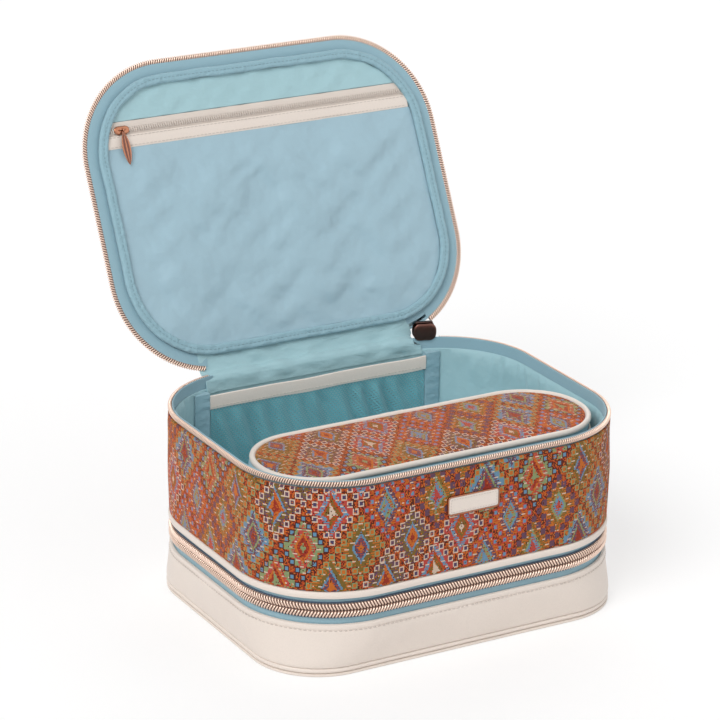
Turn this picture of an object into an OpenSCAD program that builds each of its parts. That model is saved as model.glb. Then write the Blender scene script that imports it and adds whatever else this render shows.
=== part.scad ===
// Two-tier makeup train case: a leather base closed by a zip, an upper case with a zip-round lid,
// a mesh pocket on its back wall, a zip pocket in its lid and a brush pouch that lifts out.
// Origin at the centre of the footprint on the table, X to the right, Y to the back, Z up.

/* [Case] */
// Width of the case over its side walls
case_w = 266; // [250:1:300]
// Depth of the case from front wall to back wall
case_d = 212; // [204:1:240]
// Radius of the case's upright corners
case_r = 66; // [62:1:72]
// Thickness of a padded outer wall
wall_t = 2.4; // [1.8:0.1:2.8]
// Thickness of a lining cloth
lining_t = 0.8; // [0.5:0.1:1.2]
// Thickness of the stiffening boards
board_t = 2.4; // [1.6:0.1:3]
// Space left at a sewn seam between two pieces
seam_gap = 0.2; // [0.15:0.05:0.3]

/* [Base compartment] */
// Height of the leather wall's top edge
base_h = 35; // [30:1:60]
// How far the foot of the base is set in from the walls above
foot_inset = 3.5; // [2:0.5:5]
// Radius of the base's corners at its foot
foot_r = 46; // [40:1:56]
// Height of the upright stretch at the top of the leather wall
base_upright_h = 7; // [6:1:12]
// Thickness of the leather bottom panel
bottom_t = 2; // [1.5:0.1:3]
// Diameter of the piping cord round the foot
welt_d = 3.4; // [2.8:0.1:4]

/* [Zips] */
// Width of the closed zip teeth, both rows together
zip_w = 9.4; // [8.6:0.2:11]
// How far the teeth of one row reach in between those of the other
zip_bite = 1.3; // [1:0.1:1.6]
// Distance from tooth to tooth along one row
tooth_pitch = 3.6; // [3.4:0.1:5]
// Gap between a tooth and its neighbour in the other row
tooth_gap = 0.3; // [0.25:0.05:0.5]
// How far the teeth stand out past the wall's face
tooth_proud = 0.5; // [0.2:0.1:1]
// Thickness of the cord that the teeth are sewn over
zip_cord_t = 1.2; // [0.8:0.1:1.6]
// Thickness of a zip tape
tape_t = 0.9; // [0.6:0.1:1.1]
// Tape in sight between the base zip's teeth and the wall
tape_show = 4.7; // [3:0.1:8]
// Tape in sight between the rim's teeth and the wall
rim_tape_show = 1.6; // [1:0.1:4]
// How far a tape is sewn in behind its wall
tape_lap = 4.5; // [3:0.5:6]

/* [Upper case] */
// Height of the flat piping over the base zip
band_h = 5; // [3:0.5:8]
// How far the flat piping stands out past the wall
band_proud = 0.6; // [0.2:0.1:1]
// Height of the tapestry wall
wall_h = 66.5; // [60:0.5:90]
// Distance from a side wall's face to the end of the cloth hinges
hinge_in = 50; // [49:1:73]
// How far the hinge axes lie behind the back wall
axis_out = 1; // [0.5:0.1:1.5]
// Height of the lining's top edge below the rim's tape end
rim_tape_inside = 8; // [6:0.5:12]

/* [Mesh pocket] */
// Room between the mesh and the back lining
pocket_depth = 7; // [6:0.5:14]
// Distance from a side wall's face to the end of the mesh panel
mesh_in = 50; // [49:1:73]
// Height of the mesh pocket's bound edge above the compartment floor
mesh_h = 63; // [40:1:64]
// Height of the binding on the mesh pocket
binding_h = 10; // [6:0.5:14]
// Width of the side tapes that hold the mesh
side_tape_w = 11; // [8:0.5:16]

/* [Badge] */
// Width of the badge frame
badge_w = 38; // [24:1:60]
// Height of the badge frame
badge_h = 13; // [10:0.5:20]
// Height of the badge's centre above the foot of the tapestry wall
badge_up = 43.5; // [12:0.5:54]
// Width of the frame's metal rim
badge_rim = 1.6; // [1:0.1:2.5]
// Thickness of the frame
badge_t = 1.6; // [1.2:0.1:2.5]

/* [Lid] */
// Angle at which the lid stands open
lid_open = 117; // [60:1:150]
// Distance of the lid's panel edge from the wall line
lid_edge = 10; // [9.5:0.5:14]
// Thickness of the padded lid panel
lid_t = 7.4; // [6:0.2:12]
// Width of the cloth binding inside the lid
lid_binding_w = 7; // [5:0.5:9]
// Depth of the cloth binding below the zip tape
lid_binding_t = 3.8; // [2:0.1:4]
// Distance from the lid's front edge to the pocket's leather trim
trim_front = 55; // [47:1:92]
// Width of the pocket's leather trim
trim_w = 8.8; // [6:0.2:12]
// Width of the pocket's zip tape
pocket_tape_w = 9; // [7:0.5:12]
// Distance from the lid's side edge to the end of the pocket's zip
pocket_zip_in = 18; // [17:1:43]

/* [Sliders] */
// Length of a slider on the wide zips
slider_len = 16; // [12:0.5:18]
// Length of the slider on the lid pocket
small_slider_len = 11; // [9:0.5:13]
// Thickness of a slider's plate
slider_plate = 0.8; // [0.6:0.1:0.9]
// Radius of the pin that a pull hangs on
pin_r = 0.5; // [0.4:0.05:0.6]
// Running clearance round that pin
pin_clear = 0.05; // [0.03:0.01:0.08]
// Length of a leaf-shaped pull
pull_len = 24; // [18:0.5:28]
// Width of a leaf-shaped pull
pull_w = 6; // [4:0.5:8]
// Thickness of a pull
pull_t = 1; // [0.8:0.1:1.2]
// Distance of the rim slider's middle past the end of the hinge
rim_slider_past = 3.5; // [2:0.5:5]
// Height of the rim slider's centre above the rim
rim_slider_lift = 2.2; // [2:0.1:3]
// Place of the base slider along the right wall
base_slider_y = 28; // [10:1:30]
// Distance of the lid pocket's slider from the lid's left edge
pocket_slider_in = 30; // [29:1:73]
// Place of the pouch's slider, right of the middle
pouch_slider_x = 60; // [20:1:66]

/* [Handle] */
// Length of the handle's arch from foot to foot
handle_len = 130; // [110:1:150]
// Height of the handle's arch
handle_rise = 28; // [26:1:40]
// Width of the handle strap
handle_w = 20; // [16:1:26]
// Thickness of the handle strap
handle_t = 5; // [4:0.5:6]
// Length of the handle's foot under its tab
handle_foot = 22; // [18:1:28]
// Thickness of the handle's foot and of its tab
tab_t = 2; // [1.5:0.1:3]
// Radius of a rivet's shank
rivet_r = 1.6; // [1.2:0.1:2]

/* [Pouch] */
// Distance from a side wall's face to the pouch's end
pouch_side_room = 13; // [11:1:33]
// Depth of the pouch
pouch_d = 83; // [78:1:84]
// Radius of the pouch's round ends
pouch_r = 41; // [30:1:41]
// Height of the pouch
pouch_h = 69; // [50:0.5:69]
// Pouch centre, right of the case's middle
pouch_x = 0.5; // [0:0.5:2]
// Distance from the front wall's face to the pouch
pouch_front_room = 21.5; // [12:0.5:40]
// Thickness of the pouch's wall
pouch_wall_t = 1.6; // [1.2:0.1:1.8]
// Diameter of the pouch's piping
pouch_piping_d = 3.2; // [2.6:0.1:3.6]
// Height of the pouch's lid, from its zip to the top
pouch_lid_h = 12; // [10:0.5:16]
// Width of the pouch's closed zip, both rows together
pouch_zip_w = 6.8; // [6:0.2:8]
// Width of the pouch's hinge, left without teeth
pouch_hinge_w = 110; // [80:2:140]

/* [Hidden] */
$fn = 96;

// Sizes that follow the case's outline
hinge_w = case_w - 2 * hinge_in;
mesh_w = case_w - 2 * mesh_in;
pouch_w = case_w - 2 * pouch_side_room;
trim_v = case_d - trim_front;
pocket_zip_len = case_w - 2 * pocket_zip_in;
pocket_slider_x = case_w / 2 - pocket_slider_in;
rim_slider_x = hinge_w / 2 + rim_slider_past;

// Insets from the wall line: tape behind the wall, lining behind the tape
tape_in = wall_t + seam_gap;
tape_back = tape_in + tape_t;
lining_in = tape_back + seam_gap;
lining_back = lining_in + lining_t;

// Levels of the base, from the table up
welt_z = bottom_t + seam_gap + welt_d / 2;
base_wall_z = bottom_t + 2 * seam_gap + welt_d;
base_board_z = bottom_t + seam_gap;
base_floor_z = base_board_z + board_t + seam_gap;
base_teeth_z = base_h + tape_show;
base_seam = base_teeth_z + zip_w / 2;

// Levels of the upper case
band_z = base_seam + zip_w / 2 + tape_show;
wall_z = band_z + band_h + seam_gap;
wall_top = wall_z + wall_h;
badge_z = wall_z + badge_up;
divider_z = band_z;
divider_top = divider_z + board_t;
floor_z = divider_top + seam_gap;
floor_top = floor_z + lining_t;
rim_seam = wall_top + rim_tape_show + zip_w / 2;
half_bite = zip_bite / 2;
rim_tape_top = rim_seam - half_bite;
lining_top = rim_tape_top - rim_tape_inside;

// Hinge axes, along X behind the back wall
axis_y = case_d / 2 + axis_out;
fold_r = 1;

// Layers of the closed lid, from the zip tape up and from the zip tape down
tooth_fit = 0.1;
lid_tooth_out = 1.5;
lid_tooth_in = 3.2;
lid_tape_z = rim_seam + half_bite;
lid_tape_top = lid_tape_z + tape_t;
lid_lining_top = lid_tape_top + seam_gap / 2;
lid_panel_z = lid_lining_top + seam_gap;
lid_panel_top = lid_panel_z + lid_t;
lid_lining_z = lid_lining_top - lining_t;
pocket_panel_top = lid_lining_z - 2 * seam_gap;
pocket_panel_z = pocket_panel_top - lining_t;
lid_binding_in = lid_edge - 0.6;
lid_inner = lid_binding_in + lid_binding_w + seam_gap;
roll_r = 1.6;

// Slider hardware
slide_gap = 0.3;
flange_t = 0.9;
eye_wall = 0.7;
eye_r = pin_r + pin_clear + eye_wall;
pin_off = eye_r + 0.1;
eye_w = 2.6;
post_t = 1.2;
coil_h = 0.8;
coil_w = 3.4;
coil_pitch = 2.4;
tape_v = trim_v + trim_w + seam_gap;
coil_v = tape_v + 0.9 * coil_w;
trim_proud = 0.6;

pouch_z = floor_top + 0.3;
pouch_seam = pouch_z + pouch_h - pouch_lid_h;
pouch_line_y = pouch_front_room + pouch_d / 2 - case_d / 2;

// ---- Outlines ---------------------------------------------------------------------------------

// Rectangle with round corners, drawn in by an inset
module rounded(w, d, r, inset = 0) {
    iw = w - 2 * inset;
    id = d - 2 * inset;
    ir = r - inset;
    square([iw - 2 * ir, id], center = true);
    square([iw, id - 2 * ir], center = true);
    for (sx = [-1, 1], sy = [-1, 1])
        translate([sx * (iw / 2 - ir), sy * (id / 2 - ir)])
            circle(ir);
}

module case_line(inset = 0) {
    rounded(case_w, case_d, case_r, inset);
}

module foot_line(inset = 0) {
    rounded(case_w - 2 * foot_inset, case_d - 2 * foot_inset, foot_r, inset);
}

module pouch_line(inset = 0) {
    rounded(pouch_w, pouch_d, pouch_r, inset);
}

// Upright ring between two insets of the case's outline
module case_ring(z0, z1, outer, inner) {
    translate([0, 0, z0])
        linear_extrude(z1 - z0)
            difference() {
                case_line(outer);
                case_line(inner);
            }
}

module pouch_ring(z0, z1, outer, inner) {
    translate([pouch_x, pouch_line_y, z0])
        linear_extrude(z1 - z0)
            difference() {
                pouch_line(outer);
                pouch_line(inner);
            }
}

// Sweeps a profile round an outline: profile x is measured outwards from the outline, y is height
module sweep(w, d, r) {
    a = w / 2 - r;
    b = d / 2 - r;
    for (side = [0, 1])
        mirror([side, 0, 0])
            translate([a, b, 0])
                rotate([90, 0, 0])
                    linear_extrude(2 * b)
                        translate([r, 0])
                            children();
    for (side = [0, 1])
        mirror([0, side, 0])
            translate([-a, b, 0])
                rotate([90, 0, 90])
                    linear_extrude(2 * a)
                        translate([r, 0])
                            children();
    for (corner = [[a, b, 0], [-a, b, 90], [-a, -b, 180], [a, -b, 270]])
        translate([corner[0], corner[1], 0])
            rotate([0, 0, corner[2]])
                rotate_extrude(angle = 90)
                    translate([r, 0])
                        children();
}

// Space at the back, between two places along X, where a row or a tape is left out
module back_gap(left, right, d) {
    translate([-left, d / 4, -1])
        cube([left + right, d, 400]);
}

// Tapered shell of the base between its foot and the wall line above
module base_loft(z0, z1, foot, inset) {
    hull() {
        translate([0, 0, z0])
            linear_extrude(0.01)
                foot_line(foot);
        translate([0, 0, base_h - base_upright_h])
            linear_extrude(z1 - base_h + base_upright_h)
                case_line(inset);
    }
}

// Turns what is drawn as the closed lid to where the lid stands open
module opened_lid() {
    translate([0, axis_y, rim_seam])
        rotate([-lid_open, 0, 0])
            translate([0, -axis_y, -rim_seam])
                children();
}

// ---- Zip teeth --------------------------------------------------------------------------------

// Place and heading on an outline, s millimetres from the middle of its front, negative to the left
function track(s, w, d, r) =
    let (a = w / 2, b = d / 2, m = abs(s), g = s < 0 ? -1 : 1,
        s1 = a - r, s2 = s1 + PI * r / 2, s3 = s2 + 2 * (b - r), s4 = s3 + PI * r / 2,
        t1 = (m - s1) * 180 / PI / r, t2 = (m - s3) * 180 / PI / r)
    m < s1 ? [g * m, -b, 0] :
    m < s2 ? [g * (a - r + r * sin(t1)), -b + r - r * cos(t1), g * t1] :
    m < s3 ? [g * a, -b + r + m - s2, g * 90] :
    m < s4 ? [g * (a - r + r * cos(t2)), b - r + r * sin(t2), g * (90 + t2)] :
    [g * (a - r - m + s4), b, g * 180];

// Length of a row from the middle of the front to a place x on the back or on its corner
function run(w, d, r, x) =
    let (a = w / 2 - r)
    a + PI * r / 2 + d - 2 * r + (x > a ? acos((x - a) / r) * PI / 180 * r : PI * r / 2 + a - x);

// One row: single teeth from level z0 to z1, sewn over a cord from c0 to c1
module zip_row(w, d, r, left, right, phase, z0, z1, c0, c1, outer, inner, cord_outer, cord_inner) {
    tooth_w = tooth_pitch / 2 - tooth_gap;
    first = -floor(run(w, d, r, left) / tooth_pitch + phase);
    last = floor(run(w, d, r, right) / tooth_pitch - phase);
    union() {
        difference() {
            translate([0, 0, c0])
                linear_extrude(c1 - c0)
                    difference() {
                        rounded(w, d, r, cord_outer);
                        rounded(w, d, r, cord_inner);
                    }
            back_gap(left - tooth_w / 2, right - tooth_w / 2, d);
        }
        translate([0, 0, z0])
            linear_extrude(z1 - z0)
                for (i = [first : last])
                    let (t = track((i + phase) * tooth_pitch, w, d, r))
                        translate([t[0], t[1]])
                            rotate(t[2])
                                translate([-tooth_w / 2, outer])
                                    square([tooth_w, inner - outer]);
    }
}

// Lower row of a zip in a wall, its teeth reaching up past the seam
module lower_row(w, d, r, left, right, seam, width, inner) {
    zip_row(w, d, r, left, right, 0, seam - width / 2, seam + half_bite - tooth_fit,
        seam - width / 2 + zip_bite / 2, seam - half_bite - tooth_fit,
        -tooth_proud, inner, inner - zip_cord_t, inner);
}

// Upper row of a zip in a wall, its teeth reaching down past the seam
module upper_row(w, d, r, left, right, seam, width, inner) {
    zip_row(w, d, r, left, right, 0.5, seam - half_bite + tooth_fit, seam + width / 2,
        seam + half_bite + tooth_fit, seam + width / 2 - zip_bite / 2,
        -tooth_proud, inner, inner - zip_cord_t, inner);
}

// ---- Sliders and pulls ------------------------------------------------------------------------
// Drawn with the zip along X, its outer side towards -Y and its width along Z

// Plate of a slider with round shoulders
module slider_plate_shape(len, half_h) {
    intersection() {
        square([len, 2 * half_h], center = true);
        circle(len * 0.58);
    }
}

// Slider: an outer plate at the face, rails beside the teeth and a bail with its pin
module slider(len, half_w, face, reach) {
    half_h = half_w + slide_gap + flange_t;
    pin_y = face - slider_plate - pin_off;
    post_x = eye_w / 2 + slide_gap;
    translate([0, face, 0])
        rotate([90, 0, 0])
            linear_extrude(slider_plate)
                slider_plate_shape(len, half_h);
    for (side = [-1, 1])
        translate([-len / 2 + 2, face - 0.01, side * (half_w + slide_gap + flange_t / 2) - flange_t / 2])
            cube([len - 4, reach + 0.01, flange_t]);
    for (side = [-1, 1])
        translate([side * (post_x + post_t / 2) - post_t / 2, pin_y - pin_r - 0.3, -0.9])
            cube([post_t, pin_off + pin_r + 0.3 + 0.01, 1.8]);
    translate([-post_x - 0.1, pin_y, 0])
        rotate([0, 90, 0])
            cylinder(r = pin_r, h = 2 * post_x + 0.2, $fn = 32);
}

// Leaf-shaped pull hanging down from its pin, with the pin's axis along X at the origin
module pull() {
    leaf = pull_len - 3;
    arc_r = (leaf * leaf + pull_w * pull_w) / (4 * pull_w);
    difference() {
        union() {
            translate([-eye_w / 2, 0, 0])
                rotate([0, 90, 0])
                    cylinder(r = eye_r, h = eye_w, $fn = 32);
            translate([-eye_w / 2, -pull_t / 2, -4])
                cube([eye_w, pull_t, 4]);
            translate([0, pull_t / 2, -3 - leaf / 2])
                rotate([90, 0, 0])
                    linear_extrude(pull_t)
                        intersection() {
                            translate([arc_r - pull_w / 2, 0])
                                circle(arc_r);
                            translate([pull_w / 2 - arc_r, 0])
                                circle(arc_r);
                        }
        }
        translate([-eye_w, 0, 0])
            rotate([0, 90, 0])
                cylinder(r = pin_r + pin_clear, h = 2 * eye_w, $fn = 32);
    }
}

module on_right_wall(y) {
    translate([case_w / 2, y, base_seam])
        rotate([0, 0, 90])
            children();
}

// On the round of the back corner, facing out of the wall
module on_back_rim() {
    turn = asin(max(0, rim_slider_x - case_w / 2 + case_r) / case_r);
    translate([rim_slider_x, case_d / 2 - case_r * (1 - cos(turn)), rim_seam + rim_slider_lift])
        rotate([0, 0, 180 - turn])
            children();
}

module on_lid_pocket() {
    opened_lid()
        translate([-pocket_slider_x, axis_y - coil_v, pocket_panel_z])
            rotate([90, 0, 0])
                children();
}

module on_pouch_front() {
    translate([pouch_x + pouch_slider_x, pouch_line_y - pouch_d / 2, pouch_seam])
        children();
}

// A pull hung on the pin of a slider whose plate lies at the face
module hung_pull(face) {
    translate([0, face - slider_plate - pin_off, 0])
        pull();
}

wall_face = -tooth_proud - slide_gap;
pocket_face = -coil_h - seam_gap;

// ---- Base compartment -------------------------------------------------------------------------

module base_bottom() {
    color("linen")
        linear_extrude(bottom_t)
            foot_line();
}

module base_board() {
    color("dimgray")
        translate([0, 0, base_board_z])
            linear_extrude(board_t)
                foot_line(welt_d + seam_gap);
}

module base_welt() {
    color("linen")
        sweep(case_w - 2 * foot_inset, case_d - 2 * foot_inset, foot_r)
            translate([-welt_d / 2, welt_z])
                circle(d = welt_d);
}

module base_wall() {
    color("linen")
        difference() {
            base_loft(base_wall_z, base_h, 0, 0);
            base_loft(base_wall_z - 0.01, base_h + 1, wall_t, wall_t);
        }
}

module base_lining() {
    color("lightblue")
        difference() {
            base_loft(base_floor_z, base_h - 1, welt_d + seam_gap, lining_in);
            base_loft(base_floor_z + lining_t, base_h, welt_d + seam_gap + lining_t, lining_back);
            case_ring(base_h - tape_lap - seam_gap, base_h, 0, lining_in);
        }
}

module base_zip_tape() {
    color("lightblue")
        difference() {
            case_ring(base_h - tape_lap, base_seam - half_bite, tape_in, tape_back);
            back_gap(hinge_w / 2 + seam_gap, hinge_w / 2 + seam_gap, case_d);
        }
}

module base_zip_teeth() {
    color("rosybrown")
        lower_row(case_w, case_d, case_r, hinge_w / 2 + 1, hinge_w / 2 + 1, base_seam, zip_w, wall_t);
}

// Cloth leaf of a back hinge: a lap behind the wall and a thicker stretch in sight
module hinge_leaf(z_lap, z_end, z_show0, z_show1) {
    intersection() {
        union() {
            case_ring(z_lap, z_end, tape_in, tape_back);
            case_ring(z_show0, z_show1, 2 * seam_gap, tape_back);
        }
        back_gap(hinge_w / 2, hinge_w / 2, case_d);
    }
}

module base_hinge_leaf() {
    color("lightblue")
        hinge_leaf(base_h - tape_lap, base_seam - seam_gap, base_h + seam_gap, base_seam - seam_gap);
}

module base_slider() {
    color("rosybrown")
        on_right_wall(base_slider_y)
            slider(slider_len, zip_w / 2, wall_face, tooth_proud + slide_gap + wall_t - seam_gap);
}

module base_pull() {
    color("rosybrown")
        on_right_wall(base_slider_y)
            hung_pull(wall_face);
}

// ---- Upper case -------------------------------------------------------------------------------

module case_zip_teeth() {
    color("rosybrown")
        upper_row(case_w, case_d, case_r, hinge_w / 2 + 1, hinge_w / 2 + 1, base_seam, zip_w, wall_t);
}

module case_zip_tape() {
    color("lightblue")
        difference() {
            case_ring(base_seam + half_bite, wall_z - seam_gap, tape_in, tape_back);
            back_gap(hinge_w / 2 + seam_gap, hinge_w / 2 + seam_gap, case_d);
        }
}

module case_hinge_leaf() {
    color("lightblue")
        hinge_leaf(base_seam + seam_gap, wall_z - seam_gap, base_seam + seam_gap, band_z - seam_gap);
}

module case_piping() {
    color("linen")
        sweep(case_w, case_d, case_r) {
            translate([-wall_t, band_z])
                square([wall_t, band_h]);
            intersection() {
                translate([band_proud - band_h, band_z + band_h / 2])
                    circle(r = band_h);
                translate([-wall_t, band_z])
                    square([band_h, band_h]);
            }
        }
}

module case_wall() {
    color("chocolate")
        case_ring(wall_z, wall_top, 0, wall_t);
}

module wall_stiffener() {
    color("dimgray")
        case_ring(wall_z, wall_top - tape_lap - seam_gap, tape_in, tape_back);
}

module case_lining() {
    color("lightblue") {
        translate([0, 0, floor_z])
            linear_extrude(lining_t)
                case_line(lining_in);
        case_ring(floor_z, lining_top, lining_in, lining_back);
    }
}

module divider_board() {
    color("dimgray")
        translate([0, 0, divider_z])
            linear_extrude(board_t)
                case_line(lining_in);
}

module divider_lining() {
    color("lightblue")
        translate([0, 0, divider_z - seam_gap - lining_t])
            linear_extrude(lining_t)
                case_line(lining_in);
}

module rim_zip_tape() {
    color("lightblue")
        difference() {
            case_ring(wall_top - tape_lap, rim_tape_top, tape_in, tape_back);
            back_gap(hinge_w / 2 + seam_gap, hinge_w / 2 + seam_gap, case_d);
        }
}

// The rim's row ends beside its slider
module rim_zip_teeth() {
    color("rosybrown")
        lower_row(case_w, case_d, case_r, hinge_w / 2 + 1, rim_slider_x + slider_len / 2 + 2,
            rim_seam, zip_w, wall_t);
}

// The rim's leaf ends in a corded fold, which the lid's leaf turns round
module rim_hinge_leaf() {
    fold_len = case_w - 2 * case_r;
    room = zip_w / 2 + 2 * slide_gap + flange_t;
    color("lightblue") {
        difference() {
            hinge_leaf(wall_top - tape_lap, rim_tape_top, wall_top + seam_gap, rim_tape_top);
            on_back_rim()
                translate([-slider_len / 2 - slide_gap, tape_in - 20, -room])
                    cube([slider_len + 2 * slide_gap, 20, 2 * room]);
        }
        translate([-fold_len / 2, case_d / 2 - tape_back, rim_tape_top - tape_t])
            cube([fold_len, tape_back + axis_out, tape_t]);
        translate([-fold_len / 2, axis_y, rim_seam])
            rotate([0, 90, 0])
                cylinder(r = fold_r, h = fold_len);
    }
}

// Parked at the end of the rim, with its bridge over the tape's edge
module rim_slider() {
    half_h = zip_w / 2 + slide_gap + flange_t;
    back = tape_back + slide_gap + slider_len * slider_len / 8 / (case_r - tape_back);
    color("sienna")
        on_back_rim() {
            slider(slider_len, zip_w / 2, wall_face, tooth_proud + slide_gap + wall_t - seam_gap);
            translate([0, back + slider_plate, 0])
                rotate([90, 0, 0])
                    linear_extrude(slider_plate)
                        slider_plate_shape(slider_len, half_h);
            translate([2 - slider_len / 2, wall_face - 0.01, half_h - flange_t])
                cube([slider_len - 4, back - wall_face + 0.02, flange_t]);
        }
}

module rim_pull() {
    color("sienna")
        on_back_rim()
            hung_pull(wall_face);
}

// ---- Mesh pocket ------------------------------------------------------------------------------

mesh_y = case_d / 2 - lining_back - pocket_depth - lining_t;
mesh_top = floor_top + mesh_h - binding_h;

module mesh_pocket() {
    color("teal")
        translate([-mesh_w / 2, mesh_y, floor_top + seam_gap])
            cube([mesh_w, lining_t, mesh_top - floor_top - 2 * seam_gap]);
}

module pocket_binding() {
    color("linen")
        translate([-mesh_w / 2, mesh_y - lining_t / 2, mesh_top])
            cube([mesh_w, 2 * lining_t, binding_h]);
}

// Tape on the round of the wall, with a fold that reaches forward to the mesh
module pocket_side_tape() {
    tape_x = mesh_w / 2 + seam_gap;
    top = mesh_top + binding_h + 1.5;
    intersection() {
        case_ring(floor_top + seam_gap, top, lining_back + seam_gap, lining_back + seam_gap + 1);
        translate([tape_x, 0, 0])
            cube([side_tape_w, case_d, top]);
    }
    difference() {
        translate([tape_x, mesh_y, floor_top + seam_gap])
            cube([1.2, case_d / 2 - mesh_y, top - floor_top - seam_gap]);
        difference() {
            translate([0, 0, 1])
                cube([case_w, case_d, 400]);
            translate([0, 0, -1])
                linear_extrude(402)
                    case_line(lining_back + seam_gap);
        }
    }
}

module pocket_tape_right() {
    color("lightblue")
        pocket_side_tape();
}

module pocket_tape_left() {
    color("lightblue")
        mirror([1, 0, 0])
            pocket_side_tape();
}

// ---- Badge ------------------------------------------------------------------------------------

// Plate on the front wall, grown from a flat outline by a thickness
module on_front_wall(off, t) {
    translate([0, -case_d / 2 - off, badge_z])
        rotate([90, 0, 0])
            linear_extrude(t)
                children();
}

module badge_frame() {
    color("rosybrown")
        on_front_wall(seam_gap, badge_t)
            difference() {
                rounded(badge_w, badge_h, 2);
                rounded(badge_w - 2 * badge_rim, badge_h - 2 * badge_rim, 1);
            }
}

module badge_plate() {
    inner = badge_rim + seam_gap;
    color("linen")
        on_front_wall(seam_gap, badge_t - 0.6)
            rounded(badge_w - 2 * inner, badge_h - 2 * inner, 0.9);
}

// ---- Lid --------------------------------------------------------------------------------------

// Room that the rim's slider needs when the lid is shut
module slider_bay() {
    on_back_rim()
        translate([-slider_len / 2 - 1, -20, -30])
            cube([slider_len + 2, 20 + lid_edge - 0.5, 60]);
}

module lid_panel() {
    edge = lid_edge + welt_d + seam_gap;
    crown = lid_t - welt_d / 2;
    color("chocolate")
        opened_lid() {
            translate([0, 0, lid_panel_z])
                linear_extrude(lid_t)
                    case_line(edge + crown);
            sweep(case_w, case_d, case_r)
                translate([-edge - crown, lid_panel_z + welt_d / 2])
                    intersection() {
                        circle(r = crown);
                        translate([-0.5, 0])
                            square([crown + 0.5, crown]);
                    }
            translate([0, 0, lid_panel_z])
                linear_extrude(welt_d / 2 + 0.1)
                    case_line(edge);
        }
}

module lid_piping() {
    color("linen")
        opened_lid()
            sweep(case_w, case_d, case_r)
                translate([-lid_edge - welt_d / 2, lid_panel_z + welt_d / 2])
                    circle(d = welt_d);
}

module lid_zip_tape() {
    color("lightblue")
        opened_lid()
            difference() {
                case_ring(lid_tape_z, lid_tape_top, lid_tooth_in + seam_gap, lid_edge + 0.6);
                back_gap(hinge_w / 2 + seam_gap, hinge_w / 2 + seam_gap, case_d);
                slider_bay();
            }
}

// The lid's row lies flat round its edge, and its teeth drop in between the rim's
module lid_zip_teeth() {
    color("rosybrown")
        opened_lid()
            zip_row(case_w, case_d, case_r, hinge_w / 2 + 1, rim_slider_x + slider_len / 2 + 2, 0.5,
                rim_seam - half_bite + tooth_fit, lid_tape_top,
                rim_seam + half_bite + tooth_fit, lid_tape_top,
                -lid_tooth_out, lid_tooth_in, lid_tooth_in - zip_cord_t - 0.8, lid_tooth_in);
}

module lid_hinge_leaf() {
    color("lightblue")
        opened_lid()
            difference() {
                translate([0, 0, lid_tape_z])
                    linear_extrude(tape_t)
                        intersection() {
                            case_line(seam_gap);
                            translate([-hinge_w / 2, case_d / 2 - lid_edge - 0.6])
                                square([hinge_w, lid_edge + 0.6]);
                        }
                slider_bay();
            }
}

// Rolled binding that covers the seam inside the lid
module lid_binding() {
    color("skyblue")
        opened_lid()
            sweep(case_w, case_d, case_r)
                translate([-lid_binding_in - lid_binding_w, lid_tape_z - seam_gap - lid_binding_t]) {
                    translate([roll_r, 0])
                        square([lid_binding_w - 2 * roll_r, lid_binding_t]);
                    translate([0, roll_r])
                        square([lid_binding_w, lid_binding_t - roll_r]);
                    translate([roll_r, roll_r])
                        circle(r = roll_r);
                    translate([lid_binding_w - roll_r, roll_r])
                        circle(r = roll_r);
                }
}

module lid_lining() {
    color("lightblue")
        opened_lid()
            translate([0, 0, lid_lining_z])
                linear_extrude(lining_t)
                    case_line(lid_edge + 0.6 + seam_gap);
}

module lid_pocket_panel() {
    color("lightsteelblue")
        opened_lid()
            translate([0, 0, pocket_panel_z])
                linear_extrude(lining_t)
                    intersection() {
                        case_line(lid_inner);
                        translate([-case_w / 2, axis_y - trim_v + seam_gap])
                            square([case_w, case_d]);
                    }
}

// Room inside the lid's binding, between two distances from the hinge
module lid_inside(v0, v1) {
    intersection() {
        case_line(lid_inner);
        translate([-pocket_zip_len / 2, axis_y - v1])
            square([pocket_zip_len, v1 - v0]);
    }
}

module lid_pocket_trim() {
    color("linen")
        opened_lid()
            translate([0, 0, pocket_panel_z - trim_proud])
                linear_extrude(lining_t + trim_proud)
                    lid_inside(trim_v, trim_v + trim_w);
}

// Outline of a coil laid flat: small loops that stand out of a strip
function coil_outline(loops, pitch, strip, reach) = concat(
    [[0, 0], [pitch * loops, 0]],
    [for (i = [loops - 1 : -1 : 0], p = [[0.75, strip], [0.75, reach], [0.25, reach], [0.25, strip]])
        [pitch * (i + p[0]), p[1]]]);

// Tape with a coil of small loops along its edge
module lid_pocket_zip() {
    loops = floor((pocket_zip_len - 10) / coil_pitch);
    color("linen")
        opened_lid()
            translate([0, 0, pocket_panel_z]) {
                linear_extrude(lining_t)
                    lid_inside(tape_v, tape_v + pocket_tape_w);
                translate([-loops * coil_pitch / 2, axis_y - coil_v - coil_w / 2, -coil_h])
                    linear_extrude(coil_h + 0.1)
                        polygon(coil_outline(loops, coil_pitch, coil_w - 1, coil_w));
            }
}

module pocket_slider() {
    color("rosybrown")
        on_lid_pocket()
            slider(small_slider_len, coil_w / 2, pocket_face, coil_h);
}

module pocket_pull() {
    color("rosybrown")
        on_lid_pocket()
            hung_pull(pocket_face);
}

// ---- Handle -----------------------------------------------------------------------------------

foot_z = lid_panel_top + seam_gap;
tab_z = foot_z + tab_t + seam_gap;
rivet_x = handle_len / 2 + handle_foot / 2 + 3;

module rivet_holes(z, h) {
    for (sx = [-1, 1], sy = [-1, 1])
        translate([sx * rivet_x, sy * handle_w / 4, z])
            cylinder(r = rivet_r + seam_gap / 2, h = h);
}

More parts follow.
